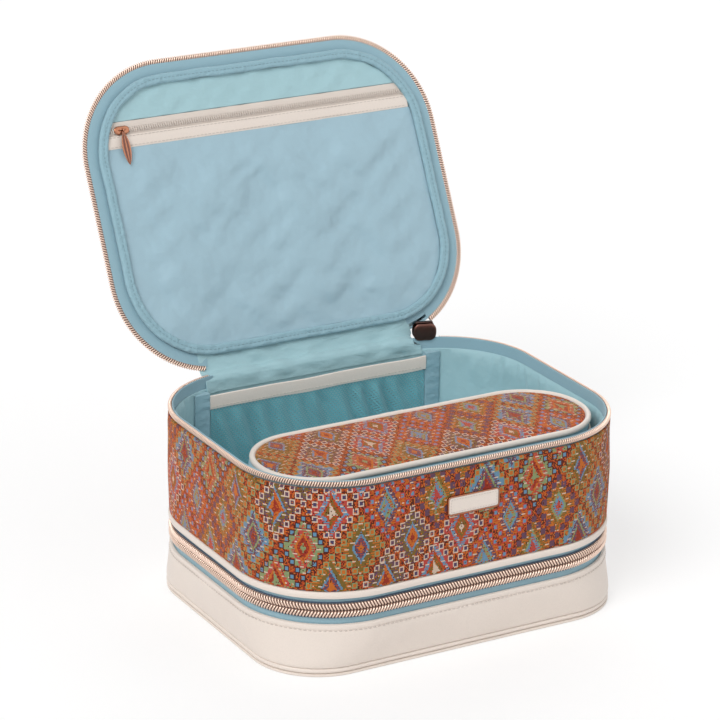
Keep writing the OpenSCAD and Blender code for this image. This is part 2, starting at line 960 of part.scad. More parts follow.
module handle() {
    arc_r = (handle_len * handle_len / 4 + handle_rise * handle_rise) / (2 * handle_rise);
    color("linen")
        opened_lid()
            difference() {
                union() {
                    translate([0, handle_w / 2, foot_z + handle_rise - arc_r])
                        rotate([90, 0, 0])
                            linear_extrude(handle_w)
                                intersection() {
                                    difference() {
                                        circle(arc_r, $fn = 200);
                                        circle(arc_r - handle_t, $fn = 200);
                                    }
                                    translate([-handle_len / 2, arc_r - handle_rise])
                                        square([handle_len, handle_rise + 1]);
                                }
                    for (sx = [-1, 1])
                        translate([sx * (handle_len / 2 + handle_foot / 2) - handle_foot / 2 - 3,
                            -handle_w / 2, foot_z])
                            cube([handle_foot + 6, handle_w, tab_t]);
                }
                rivet_holes(foot_z - 1, tab_t + 2);
            }
}

module handle_tabs() {
    color("linen")
        opened_lid()
            difference() {
                for (sx = [-1, 1])
                    translate([sx * rivet_x, 0, tab_z])
                        linear_extrude(tab_t)
                            rounded(handle_foot - 2, handle_w + 4, 4);
                rivet_holes(tab_z - 1, tab_t + 2);
            }
}

module handle_rivets() {
    color("rosybrown")
        opened_lid()
            for (sx = [-1, 1], sy = [-1, 1])
                translate([sx * rivet_x, sy * handle_w / 4, foot_z]) {
                    cylinder(r = rivet_r, h = 2 * tab_t + seam_gap + 0.5);
                    translate([0, 0, 2 * tab_t + seam_gap + 0.1])
                        cylinder(r = 2 * rivet_r, h = 1);
                }
}

// ---- Pouch ------------------------------------------------------------------------------------

module pouch_floor() {
    color("chocolate")
        translate([pouch_x, pouch_line_y, pouch_z])
            linear_extrude(pouch_wall_t)
                pouch_line();
}

module pouch_foot_piping() {
    color("linen")
        translate([pouch_x, pouch_line_y, pouch_z + pouch_wall_t + seam_gap])
            sweep(pouch_w, pouch_d, pouch_r)
                translate([-pouch_piping_d / 2, pouch_piping_d / 2])
                    circle(d = pouch_piping_d);
}

pouch_wall_z = pouch_z + pouch_wall_t + pouch_piping_d + 2 * seam_gap;
pouch_wall_top = pouch_seam - pouch_zip_w / 2 - 1.5;
pouch_tape_in = pouch_wall_t + seam_gap;
pouch_top = pouch_z + pouch_h;

module pouch_wall() {
    color("lightblue")
        pouch_ring(pouch_wall_z, pouch_wall_top, 0, pouch_wall_t);
}

module pouch_tape_lower() {
    color("lightblue")
        pouch_ring(pouch_wall_top - tape_lap, pouch_seam - half_bite, pouch_tape_in,
            pouch_tape_in + tape_t);
}

module pouch_teeth_lower() {
    color("rosybrown")
        translate([pouch_x, pouch_line_y, 0])
            lower_row(pouch_w, pouch_d, pouch_r, pouch_hinge_w / 2, pouch_hinge_w / 2, pouch_seam,
                pouch_zip_w, pouch_wall_t);
}

module pouch_tape_upper() {
    color("lightblue")
        pouch_ring(pouch_seam + half_bite, pouch_top - pouch_piping_d - seam_gap, pouch_tape_in,
            pouch_tape_in + tape_t);
}

module pouch_teeth_upper() {
    color("rosybrown")
        translate([pouch_x, pouch_line_y, 0])
            upper_row(pouch_w, pouch_d, pouch_r, pouch_hinge_w / 2, pouch_hinge_w / 2, pouch_seam,
                pouch_zip_w, pouch_wall_t);
}

module pouch_piping() {
    color("linen")
        translate([pouch_x, pouch_line_y, pouch_top - pouch_piping_d])
            sweep(pouch_w, pouch_d, pouch_r)
                translate([-pouch_piping_d / 2, pouch_piping_d / 2])
                    circle(d = pouch_piping_d);
}

// Padded top with a rounded edge inside its piping
module pouch_lid_panel() {
    edge = pouch_piping_d + seam_gap;
    t = pouch_piping_d - 0.2;
    color("chocolate")
        translate([pouch_x, pouch_line_y, pouch_top - pouch_piping_d]) {
            linear_extrude(t)
                pouch_line(edge + t / 2);
            sweep(pouch_w, pouch_d, pouch_r)
                translate([-edge - t / 2, t / 2])
                    intersection() {
                        circle(d = t);
                        translate([-0.5, -t / 2])
                            square([t / 2 + 0.5, t]);
                    }
        }
}

module pouch_slider() {
    color("rosybrown")
        on_pouch_front()
            slider(small_slider_len, pouch_zip_w / 2, wall_face,
                tooth_proud + slide_gap + pouch_wall_t - seam_gap);
}

module pouch_pull() {
    color("rosybrown")
        on_pouch_front()
            hung_pull(wall_face);
}

base_bottom();
base_board();
base_welt();
base_wall();
base_lining();
base_zip_tape();
base_zip_teeth();
base_hinge_leaf();
base_slider();
base_pull();
case_zip_teeth();
case_zip_tape();
case_piping();
case_wall();
wall_stiffener();
case_lining();
divider_board();
divider_lining();
rim_zip_tape();
rim_zip_teeth();
case_hinge_leaf();
rim_hinge_leaf();
rim_slider();
rim_pull();
mesh_pocket();
pocket_binding();
pocket_tape_left();
pocket_tape_right();
badge_frame();
badge_plate();
lid_panel();
lid_piping();
lid_zip_tape();
lid_zip_teeth();
lid_hinge_leaf();
lid_binding();
lid_lining();
lid_pocket_panel();
lid_pocket_trim();
lid_pocket_zip();
pocket_slider();
pocket_pull();
handle();
handle_tabs();
handle_rivets();
pouch_floor();
pouch_foot_piping();
pouch_wall();
pouch_tape_lower();
pouch_teeth_lower();
pouch_tape_upper();
pouch_teeth_upper();
pouch_piping();
pouch_lid_panel();
pouch_slider();
pouch_pull();
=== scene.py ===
"""Looks of a two-tier makeup train case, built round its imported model.

Lengths in the helpers are millimetres; meshes are made in metres. The lid's pieces are drawn shut
and then turned open about the back edge of the rim.
"""
import math

import bmesh
import bpy
import numpy as np
from mathutils import Matrix, Vector


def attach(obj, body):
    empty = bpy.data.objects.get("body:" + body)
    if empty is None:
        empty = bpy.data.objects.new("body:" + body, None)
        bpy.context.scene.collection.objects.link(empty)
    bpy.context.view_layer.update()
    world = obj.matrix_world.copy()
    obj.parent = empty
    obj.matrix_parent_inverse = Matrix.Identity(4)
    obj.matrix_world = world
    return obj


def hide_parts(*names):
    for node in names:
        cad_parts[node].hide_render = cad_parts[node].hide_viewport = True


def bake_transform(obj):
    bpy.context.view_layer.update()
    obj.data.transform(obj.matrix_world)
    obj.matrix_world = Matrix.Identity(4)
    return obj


bl_info = {
    "name": "Makeup Train Case",
    "version": (1, 0, 0),
    "blender": (4, 5, 0),
    "location": "View3D > Sidebar > Train Case",
    "description": "Two-tier makeup train case with zips, linings, pockets and a lift-out pouch",
    "category": "Add Mesh",
}

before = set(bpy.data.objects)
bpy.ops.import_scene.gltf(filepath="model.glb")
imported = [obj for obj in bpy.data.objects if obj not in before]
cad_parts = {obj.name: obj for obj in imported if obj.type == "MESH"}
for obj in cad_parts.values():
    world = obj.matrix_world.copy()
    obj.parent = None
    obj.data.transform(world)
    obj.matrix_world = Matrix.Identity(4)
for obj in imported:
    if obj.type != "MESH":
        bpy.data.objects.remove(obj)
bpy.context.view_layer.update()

MM = 0.001

# Levels, insets and lengths that several pieces share, in millimetres. Levels are heights above the
# floor, and insets are measured inwards from the outside of the walls.
AXIS_Y = 107.0  # depth of the line at the back that the lid and the upper case turn about
BASE_SEAM = 44.4  # middle of the zip between the base and the upper case
RIM_SEAM = 131.8  # middle of the lid's zip
WALL_T = 2.4
TAPE_IN, TAPE_BACK = 2.6, 3.5  # insets of a zip tape's two faces
LINING_IN, LINING_BACK = 3.7, 4.5  # insets of a lining's two faces
HINGE_HALF = 83.0  # half the width of the cloth hinge of the base
RIM_COIL = (78.5, 96.5)  # where the lid's zip ends on the back, left and right
BINDING_IN = 12.9  # inset of the middle of the lid's rolled binding
PIPING_FOOT = 52.4
FOOT_IN, FOOT_CORNER = 3.5, 46  # inset and corner radius of the case's foot
NET_WIDE, NET_LOW, NET_TOP = 165.6, 57.5, 110.4
WELD = 0.02  # corners closer than this are one
NET_ROW = 0.6  # from row to row of the net, over the distance along a row
NET_HOLE = 0.37  # radius of a hole of the net, over the distance to the next one each way
POCKET_EDGE = 157.2  # from the axis up the lid to the top edge of its pocket's cloth
POCKET_ZIP = 169.06  # from the axis up the lid to the middle of its pocket's zip
POUCH_CENTRE = (0.5, -43.0)
POUCH_WIDTH, POUCH_DEPTH, POUCH_CORNER = 240, 83, 41
POUCH_SEAM = 114.5  # middle of the pouch's zip
POUCH_ZIP_END = 55  # where the pouch's zip ends on its back, from the middle


def srgb(r, g, b):
    """Linear colour of a display colour from 0 to 255."""
    return tuple(
        (c / 12.92 if c <= 0.04045 else ((c + 0.055) / 1.055) ** 2.4)
        for c in (r / 255, g / 255, b / 255)
    ) + (1.0,)


# ---- Sizes and colours a user would change --------------------------------------------------------


class CaseSizes(bpy.types.PropertyGroup):
    """Sizes that the soft and sewn pieces are drawn from"""

    width: bpy.props.FloatProperty(
        name="Width", description="Width of the case over its walls", default=0.266, unit="LENGTH"
    )
    depth: bpy.props.FloatProperty(
        name="Depth", description="Depth of the case over its walls", default=0.212, unit="LENGTH"
    )
    corner: bpy.props.FloatProperty(
        name="Corner", description="Radius of the upright corners", default=0.066, unit="LENGTH"
    )
    lid_angle: bpy.props.FloatProperty(
        name="Lid Angle",
        description="How far the lid stands open",
        default=math.radians(117),
        subtype="ANGLE",
    )
    base_coil: bpy.props.FloatProperty(
        name="Base Coil Pitch",
        description="Distance between loops of the base zip",
        default=0.0021,
        unit="LENGTH",
    )
    rim_coil: bpy.props.FloatProperty(
        name="Rim Coil Pitch",
        description="Distance between loops of the lid zip",
        default=0.0017,
        unit="LENGTH",
    )
    pouch_coil: bpy.props.FloatProperty(
        name="Pouch Coil Pitch",
        description="Distance between loops of the pouch zip",
        default=0.0017,
        unit="LENGTH",
    )
    stitch: bpy.props.FloatProperty(
        name="Stitch Length",
        description="Distance from stitch to stitch in the leather",
        default=0.0032,
        unit="LENGTH",
    )
    mesh_pitch: bpy.props.FloatProperty(
        name="Mesh Pitch",
        description="Distance between holes of the net pocket",
        default=0.0024,
        unit="LENGTH",
    )
    crumple: bpy.props.FloatProperty(
        name="Crumple",
        description="Depth of the soft folds in the lid pocket's cloth",
        default=0.0015,
        unit="LENGTH",
    )
    knot: bpy.props.FloatProperty(
        name="Tapestry Stitch",
        description="Width of one stitch of the tapestry",
        default=0.00072,
        unit="LENGTH",
    )


class CaseColours(bpy.types.PropertyGroup):
    """Colours of the finishes"""

    leather: bpy.props.FloatVectorProperty(
        name="Leather",
        description="Cream leather",
        size=4,
        subtype="COLOR",
        default=srgb(231, 219, 209),
    )
    lining: bpy.props.FloatVectorProperty(
        name="Lining",
        description="Aqua lining cloth",
        size=4,
        subtype="COLOR",
        default=srgb(164, 199, 206),
    )
    pocket: bpy.props.FloatVectorProperty(
        name="Pocket Cloth",
        description="Satin of the lid pocket",
        size=4,
        subtype="COLOR",
        default=srgb(157, 187, 200),
    )
    binding: bpy.props.FloatVectorProperty(
        name="Binding",
        description="Blue seam binding",
        size=4,
        subtype="COLOR",
        default=srgb(146, 181, 193),
    )
    tape: bpy.props.FloatVectorProperty(
        name="Zip Tape",
        description="Blue zip tape",
        size=4,
        subtype="COLOR",
        default=srgb(152, 187, 200),
    )
    net: bpy.props.FloatVectorProperty(
        name="Net",
        description="Teal net of the pocket",
        size=4,
        subtype="COLOR",
        default=srgb(118, 188, 198),
    )
    coil: bpy.props.FloatVectorProperty(
        name="Coil",
        description="Rose coil of the zips",
        size=4,
        subtype="COLOR",
        default=srgb(240, 212, 194),
    )
    metal: bpy.props.FloatVectorProperty(
        name="Metal",
        description="Rose gold of sliders and badge",
        size=4,
        subtype="COLOR",
        default=srgb(172, 118, 92),
    )
    # Bronze of the rim slider, also the painted shade in the hollows of the pulls
    bronze: bpy.props.FloatVectorProperty(
        name="Bronze",
        description="Dark bronze of the rim slider",
        size=4,
        subtype="COLOR",
        default=srgb(112, 78, 70),
    )


def sizes():
    return bpy.context.scene.train_case_sizes


def colours():
    return bpy.context.scene.train_case_colours


# ---- Outlines and ripples -------------------------------------------------------------------------


class Outline:
    """Rectangle with round corners, walked from the middle of its front to the right."""

    def __init__(self, width, depth, radius, centre=(0.0, 0.0)):
        self.radius = radius
        self.a, self.b = width / 2 - radius, depth / 2 - radius
        self.centre = np.array(centre)
        arc = math.pi * radius / 2
        self.parts = np.array([self.a, arc, 2 * self.b, arc, 2 * self.a, arc, 2 * self.b, arc, self.a])
        self.knots = np.concatenate([[0], np.cumsum(self.parts)])
        self.length = self.knots[-1]

    def split(self, s):
        """Part of the outline and share of that part, for run lengths."""
        s = np.mod(np.asarray(s, float), self.length)
        part = np.clip(np.searchsorted(self.knots, s, side="right") - 1, 0, 8)
        return part, (s - self.knots[part]) / self.parts[part]

    def at(self, part, share, out=0.0):
        """Points and outward normals at shares of parts, offset outwards."""
        a, b = self.a, self.b
        corners = [(a, -b), (a, -b), (a, b), (a, b), (-a, b), (-a, b), (-a, -b), (-a, -b)]
        starts, ends = np.array([(0, -b)] + corners), np.array(corners + [(0, -b)])
        turn = np.array([-90, -90, 0, 0, 90, 90, 180, 180, 270.0])
        bend = np.array([0, 90, 0, 90, 0, 90, 0, 90, 0.0])
        angle = np.radians(turn[part] + bend[part] * share)
        normal = np.stack([np.cos(angle), np.sin(angle)], -1)
        core = starts[part] + (ends[part] - starts[part]) * share[:, None]
        return core + self.centre + normal * (self.radius + out), normal

    def run(self, s):
        """Points and outward normals at run lengths."""
        return self.at(*self.split(s))

    def back(self, x):
        """Run length to a place on the right half of the back or its corner."""
        if x > self.a:
            return self.knots[3] + self.radius * math.acos((x - self.a) / self.radius)
        return self.knots[4] + self.a - x


def case_line():
    """Outline of the outside of the walls."""
    s = sizes()
    return Outline(s.width / MM, s.depth / MM, s.corner / MM)


def foot_line():
    """Outline of the base where it stands on the floor."""
    s = sizes()
    return Outline(s.width / MM - 2 * FOOT_IN, s.depth / MM - 2 * FOOT_IN, FOOT_CORNER)


def pouch_line():
    return Outline(POUCH_WIDTH, POUCH_DEPTH, POUCH_CORNER, POUCH_CENTRE)


class Ripple:
    """Smooth unevenness that repeats after a length along its first direction."""

    def __init__(self, seed, size, length=1000.0, stretch=1.0, waves=14):
        rng = np.random.default_rng(seed)
        turns = rng.uniform(0.5, 1.6, waves) * length / size
        self.along = np.maximum(1, np.round(turns)) * rng.choice([-1, 1], waves) / length
        self.across = rng.uniform(-1.4, 1.4, waves) / (size * stretch)
        self.phase = rng.uniform(0, 2 * math.pi, waves)
        self.weight = rng.uniform(0.5, 1.0, waves)
        self.weight /= np.sqrt((self.weight**2).sum() / 2) * 2.2

    def __call__(self, s, t):
        total = 0.0
        for a, c, p, w in zip(self.along, self.across, self.phase, self.weight):
            total = total + w * np.sin(2 * math.pi * (a * s + c * t) + p)
        return total


def smooth(x):
    """Step from 0 to 1 with soft ends."""
    x = np.clip(x, 0, 1)
    return x * x * (3 - 2 * x)


# ---- Meshes ---------------------------------------------------------------------------------------


class Shape:
    """Mesh in the making, from blocks of points and faces with UVs in millimetres."""

    def __init__(self):
        self.points, self.faces, self.uvs, self.finishes, self.count = [], [], [], [], 0

    def add(self, points, faces, uv=None, finish=0):
        """Adds points, and faces that all have the same number of corners."""
        faces = np.asarray(faces, int)
        if uv is None:
            uv = np.asarray(points)[faces][..., :2]
        self.points.append(np.asarray(points, float).reshape(-1, 3))
        self.faces.append(faces + self.count)
        self.uvs.append(np.asarray(uv, float))
        self.finishes.append(np.full(len(faces), finish))
        self.count += len(self.points[-1])
        return self

    def grid(self, points, uv, wrap_rows=False, wrap_cols=False, finish=0, flip=False):
        """Quads over rows and columns of points. Wrapped rows or columns have one more UV."""
        rows, cols = points.shape[:2]
        r = np.arange(rows if wrap_rows else rows - 1)
        c = np.arange(cols if wrap_cols else cols - 1)
        r, c = np.meshgrid(r, c, indexing="ij")
        r, c = r.ravel(), c.ravel()
        r1, c1 = (r + 1) % rows, (c + 1) % cols
        quads = np.stack([r * cols + c, r1 * cols + c, r1 * cols + c1, r * cols + c1], -1)
        corner = np.stack([uv[r, c], uv[r + 1, c], uv[r + 1, c + 1], uv[r, c + 1]], 1)
        if flip:
            quads, corner = quads[:, ::-1], corner[:, ::-1]
        return self.add(points.reshape(-1, 3), quads, corner, finish)

    def cap(self, ring, finish=0):
        """Closes the end of a strip with one flat face."""
        return self.add(ring, [list(range(len(ring)))], finish=finish)

    def mesh(self, name, move=None):
        """Mesh of all blocks, with its points first taken through a mover."""
        points = np.concatenate(self.points)
        if move is not None:
            points = move(points)
        mesh = bpy.data.meshes.new(name)
        mesh.vertices.add(len(points))
        mesh.vertices.foreach_set("co", (points * MM).ravel().astype(np.float32))
        corners = np.concatenate([f.ravel() for f in self.faces])
        starts, at = [], 0
        for block in self.faces:
            starts.append(at + np.arange(len(block)) * block.shape[1])
            at += block.size
        mesh.loops.add(len(corners))
        mesh.loops.foreach_set("vertex_index", corners.astype(np.int32))
        starts = np.concatenate(starts)
        mesh.polygons.add(len(starts))
        mesh.polygons.foreach_set("loop_start", starts.astype(np.int32))
        mesh.polygons.foreach_set("material_index", np.concatenate(self.finishes).astype(np.int32))
        layer = mesh.uv_layers.new(name="Cut")
        layer.data.foreach_set(
            "uv", np.concatenate([u.reshape(-1, 2) for u in self.uvs]).ravel().astype(np.float32)
        )
        mesh.update(calc_edges=True)
        return mesh


def piece(name, shape, finishes, body, nodes=(), move=None, sharp=38, weld=False):
    """Object of a shape that rides on a body and stands for CAD nodes.

    finishes names one finish or several, which fill the mesh's material slots in that order.
    """
    names = [finishes] if isinstance(finishes, str) else finishes
    mesh = shape.mesh(name, move)
    for finish_name in names:
        mesh.materials.append(finish(finish_name))
    work = bmesh.new()
    work.from_mesh(mesh)
    if weld:
        bmesh.ops.remove_doubles(work, verts=work.verts, dist=WELD * MM)
    bmesh.ops.recalc_face_normals(work, faces=work.faces)
    work.to_mesh(mesh)
    work.free()
    mesh.shade_smooth()
    mesh.set_sharp_from_angle(angle=math.radians(sharp))
    obj = bpy.data.objects.new(name, mesh)
    bpy.context.scene.collection.objects.link(obj)
    if body:
        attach(obj, body)
    if nodes:
        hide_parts(*nodes)
    return obj


def turned(angle, y, z):
    """Mover that turns points about an axis along X."""
    c, s = math.cos(angle), math.sin(angle)

    def move(points):
        p = np.array(points, float)
        dy, dz = p[..., 1] - y, p[..., 2] - z
        p[..., 1], p[..., 2] = y + dy * c - dz * s, z + dy * s + dz * c
        return p

    return move


def opened_lid(points):
    """Turns points of the shut lid to where the lid stands open."""
    return turned(-sizes().lid_angle, AXIS_Y, RIM_SEAM)(points)


def round_profile(radius, out, z, sides=20):
    """Circle as a closed section."""
    t = np.linspace(0, 2 * math.pi, sides, endpoint=False)
    return np.stack([out + radius * np.cos(t), z + radius * np.sin(t)], -1)


def cut_grid(u, v):
    """UVs of a grid, from the run along its rows and the run across its columns."""
    return np.stack(np.broadcast_arrays(u[:, None], v[None, :]), -1)


def wall_profile(out, inner, z0, z1, edge=0.5, rows=8, crown=0.0):
    """Closed section of an upright sheet with rounded edges, from its outer foot up and over."""
    z = np.linspace(z0 + edge, z1 - edge, rows)
    bulge = crown * np.sin(math.pi * (z - z0) / (z1 - z0))
    outer = np.stack([out + bulge, z], -1)
    inside = np.stack([np.full(rows, inner), z[::-1]], -1)
    e = edge * 0.3
    return np.concatenate(
        [
            [[out - edge, z0], [out - e, z0 + e]],
            outer,
            [[out - e, z1 - e], [out - edge, z1], [inner + edge, z1]],
            inside,
            [[inner + edge, z0]],
        ]
    )


def swept(shape, line, profile, span=None, step=2.2, lift=None, finish=0, line_to=None):
    """Sweeps a closed section of (out, z) along an outline, and lets lift move it by (s, out, z).

    line_to is a second outline and the share of it at each level, for walls that change their plan.
    """
    profile = np.asarray(profile, float)
    whole = span is None
    start, end = (0.0, line.length) if whole else span
    n = max(3, int(math.ceil((end - start) / step)))
    s = np.linspace(start, end, n + 1)
    at = s[:-1] if whole else s
    part, share = line.split(at)
    out = np.broadcast_to(profile[:, 0], (len(at), len(profile))).copy()
    z = np.broadcast_to(profile[:, 1], out.shape).copy()
    if lift is not None:
        d_out, d_z = lift(at[:, None], out, z)
        out, z = out + d_out, z + d_z
    core, normal = line.at(part, share)
    points = np.empty(out.shape + (3,))
    points[..., :2] = core[:, None] + normal[:, None] * out[..., None]
    points[..., 2] = z
    if line_to is not None:
        other, blend = line_to
        core, normal = other.at(part, share)
        far = core[:, None] + normal[:, None] * out[..., None]
        w = blend(z)[..., None]
        points[..., :2] = points[..., :2] * (1 - w) + far * w
    ring = np.concatenate([profile, profile[:1]])
    v = np.concatenate([[0], np.cumsum(np.hypot(*np.diff(ring, axis=0).T))])
    if whole:
        # The UVs part at the back, and the left half counts back from the middle of the front
        half = int(np.searchsorted(s, line.length / 2))
        for rows, back in ((np.arange(half + 1), 0.0), (np.arange(half, n + 1), line.length)):
            shape.grid(points[rows % n], cut_grid(s[rows] - back, v), wrap_cols=True, finish=finish)
    else:
        u = np.where(s > line.length / 2 + 1e-6, s - line.length, s)
        shape.grid(points, cut_grid(u, v), wrap_cols=True, finish=finish)
        shape.cap(points[0][::-1], finish)
        shape.cap(points[-1], finish)
    return shape


def wobble(uneven, out, rise=0.0, shift=0.0):
    """Lift that moves a cord out and up by a ripple, the rise a shift further along."""
    return lambda s, o, z: (out * uneven(s, z) + 0 * o, rise * uneven(s + shift, z) + 0 * o)


def lens(line, levels, top, shape=None, uv_shift=(0, 0), foot=0, crown=0):
    """Closed pad: rings of an outline at (inset, z) levels, with a flat foot and a crowned top.

    top gives the level at points and at their share of the way out from the middle. foot and crown
    are the finishes of those two faces.
    """
    shape = shape or Shape()
    around, rises = 220, 40
    s = np.linspace(0, line.length, around, endpoint=False)
    part, share = line.split(s)
    rings = []
    for i, z in levels:
        p, _ = line.at(part, share, -i)
        rings.append(np.concatenate([p, np.full((around, 1), float(z))], -1))
    outer, inner, centre = rings[0], rings[-1], line.centre
    for t in np.linspace(0.96, 0.02, rises):
        p = centre + (inner[:, :2] - centre) * t
        rings.append(np.concatenate([p, top(p, t)[:, None]], -1))
    for t in (0.6, 0.02):
        p = centre + (outer[:, :2] - centre) * t
        rings.insert(0, np.concatenate([p, np.full((around, 1), float(levels[0][1]))], -1))
    points = np.array(rings)
    uv = points[..., :2] - centre + np.array(uv_shift)
    uv = np.concatenate([uv, uv[:, :1]], 1)
    strips = [foot] * 2 + [0] * (len(levels) - 1) + [crown] * rises
    shape.grid(points, uv, False, True, np.repeat(strips, around), flip=True)
    shape.cap(points[0], foot)
    shape.cap(points[-1][::-1], crown)
    return shape


def level_top(z):
    """Top of a pad that is flat."""
    return lambda points, share: np.full(len(points), z)


def patch(line, inset, y0, y1, nx, ny):
    """Grid of (x, y) over the part of an outline between two depths."""
    half_w = line.a + line.radius - inset
    r = line.radius - inset
    reach = half_w - 0.02
    t = np.linspace(-1, 1, nx)
    x = reach * np.sin(t * math.pi / 2) * 0.45 + reach * t * 0.55
    over = np.clip(np.abs(x) - line.a, 0, r)
    h = line.b + np.sqrt(np.maximum(r * r - over * over, 0))
    lo = np.maximum(y0 - line.centre[1], -h)
    hi = np.minimum(y1 - line.centre[1], h)
    hi = np.maximum(hi, lo + 0.05)
    share = np.linspace(0, 1, ny)
    y = lo[:, None] + (hi - lo)[:, None] * share[None, :]
    return np.stack([np.broadcast_to(x[:, None], y.shape) + line.centre[0], y + line.centre[1]], -1)


def sheet_shape(xy, z, thickness, shape=None):
    """Thin closed sheet over a grid of (x, y) with its lower face at z and a thickness above."""
    shape = shape or Shape()
    rows, cols = xy.shape[:2]
    low = np.concatenate([xy, np.broadcast_to(z, (rows, cols))[..., None]], -1)
    high = low + np.array([0, 0, thickness])
    shape.grid(low, xy)
    shape.grid(high, xy, flip=True)
    edge = (
        [(i, 0) for i in range(rows)]
        + [(rows - 1, j) for j in range(1, cols)]
        + [(i, cols - 1) for i in range(rows - 2, -1, -1)]
        + [(0, j) for j in range(cols - 2, 0, -1)]
    )
    ri, ci = np.array(edge).T
    strip = np.stack([low[ri, ci], high[ri, ci]], 1)
    uv = np.stack([xy[ri, ci], xy[ri, ci]], 1)
    uv = np.concatenate([uv, uv[:1]], 0)
    return shape.grid(strip, uv, wrap_rows=True)


def tube(path, radius, sides=8):
    """Rings of points round a path, with a radius at each of its points."""
    path = np.asarray(path, float)
    radius = np.broadcast_to(radius, len(path))
    heading = np.gradient(path, axis=0)
    heading /= np.linalg.norm(heading, axis=1)[:, None]
    ref = np.array([1.0, 0.0, 0.0]) if abs(heading[:, 0]).max() < 0.9 else np.array([0.0, 0.0, 1.0])
    side = np.cross(heading, ref)
    side /= np.linalg.norm(side, axis=1)[:, None]
    up = np.cross(side, heading)
    t = np.linspace(0, 2 * math.pi, sides, endpoint=False)
    circle = side[:, None] * np.cos(t)[None, :, None] + up[:, None] * np.sin(t)[None, :, None]
    return path[:, None] + circle * radius[:, None, None]


def tube_faces(rings, sides):
    """Quads of an open tube."""
    r, c = np.meshgrid(np.arange(rings - 1), np.arange(sides), indexing="ij")
    r, c = r.ravel(), c.ravel()
    c1 = (c + 1) % sides
    return np.stack([r * sides + c, (r + 1) * sides + c, (r + 1) * sides + c1, r * sides + c1], -1)


def copies(points, faces, spots):
    """Points and faces of a shape repeated at each of several spots."""
    many = points[None] + spots[:, None]
    jump = np.arange(len(spots)) * len(points)
    return many.reshape(-1, 3), (faces[None] + jump[:, None, None]).reshape(-1, faces.shape[1])


def bars(shape, line, places, path, radius, sides):
    """Equal closed bars along an outline. The path holds (along, out, z) points of one bar."""
    rings = tube(path, radius, sides)
    local = rings.reshape(-1, 3)
    core, normal = line.run(places)
    along = np.stack([-normal[:, 1], normal[:, 0]], -1)
    points = np.empty((len(places), len(local), 3))
    points[..., :2] = (
        core[:, None]
        + along[:, None] * local[None, :, :1]
        + normal[:, None] * local[None, :, 1:2]
    )
    points[..., 2] = local[None, :, 2]
    jump = (np.arange(len(places)) * len(local))[:, None, None]
    shape.add(points.reshape(-1, 3), (tube_faces(len(rings), sides)[None] + jump).reshape(-1, 4))
    ends = np.stack([np.arange(sides)[::-1], (len(rings) - 1) * sides + np.arange(sides)])
    first = shape.count - len(places) * len(local)
    shape.faces.append((ends[None] + jump).reshape(-1, sides) + first)
    shape.uvs.append(np.zeros((len(places) * 2, sides, 2)))
    shape.finishes.append(np.zeros(len(places) * 2, int))
    return shape


def places_between(start, end, pitch):
    return np.arange(start + pitch / 2, end, pitch)


def stitches(line, pitch, out, z, radius, sink):
    """Row of short thread stitches round an outline that dip into the leather at both ends."""
    half, shoulder = pitch * 0.31, 0.7
    path = [(-half, out - sink, z), (-half * shoulder, out, z)]
    path += [(half * shoulder, out, z), (half, out - sink, z)]
    places = places_between(0, line.length, pitch)
    return bars(Shape(), line, places, path, [0.2, radius, radius, 0.2], 6)


def coil(shape, line, start, end, pitch, path, radius):
    """Row of coil loops, their ends drawn in."""
    rings = np.full(len(path), radius)
    rings[0] *= 0.75
    rings[-1] *= 0.6
    return bars(shape, line, places_between(start, end, pitch), path, rings, 8)


def slab(shape, low, high, bevel):
    """Box with its edges cut by a bevel, as rings of a rectangle with cut corners."""
    low, high = np.array(low, float), np.array(high, float)
    centre, half = (low + high) / 2, (high - low) / 2
    levels = [(-half[2], bevel), (-half[2] + bevel, 0), (half[2] - bevel, 0), (half[2], bevel)]
    rings = []
    for z, inset in levels:
        hx, hy, r = half[0] - inset, half[1] - inset, bevel
        corner = [(hx, hy - r), (hx - r, hy), (-hx + r, hy), (-hx, hy - r)]
        corner += [(-hx, -hy + r), (-hx + r, -hy), (hx - r, -hy), (hx, -hy + r)]
        rings.append([(centre[0] + x, centre[1] + y, centre[2] + z) for x, y in corner])
    rings = np.array(rings)
    uv = np.concatenate([rings[..., :2], rings[:, :1, :2]], 1)
    shape.grid(rings, uv, wrap_cols=True)
    shape.cap(rings[0][::-1])
    shape.cap(rings[-1])
    return shape


# ---- Finishes -------------------------------------------------------------------------------------


class Number:
    """Socket of a node tree that can be calculated with."""

    def __init__(self, finish, socket):
        self.finish, self.socket = finish, socket

    def _do(self, operation, *others):
        return self.finish.calc(operation, self, *others)

    def __add__(self, o):
        return self._do("ADD", o)

    def __sub__(self, o):
        return self._do("SUBTRACT", o)

    def __rsub__(self, o):
        return self.finish.calc("SUBTRACT", o, self)

    def __mul__(self, o):
        return self._do("MULTIPLY", o)

    def __truediv__(self, o):
        return self._do("DIVIDE", o)

    def __lt__(self, o):
        return self._do("LESS_THAN", o)

    def __gt__(self, o):
        return self._do("GREATER_THAN", o)

    def __abs__(self):
        return self._do("ABSOLUTE")

    def floor(self):
        return self._do("FLOOR")

    def round(self):
        return self._do("ROUND")

    def mod(self, o):
        return self._do("FLOORED_MODULO", o)

    def sin(self):
        return self._do("SINE")

    def low(self, o):
        return self._do("MINIMUM", o)


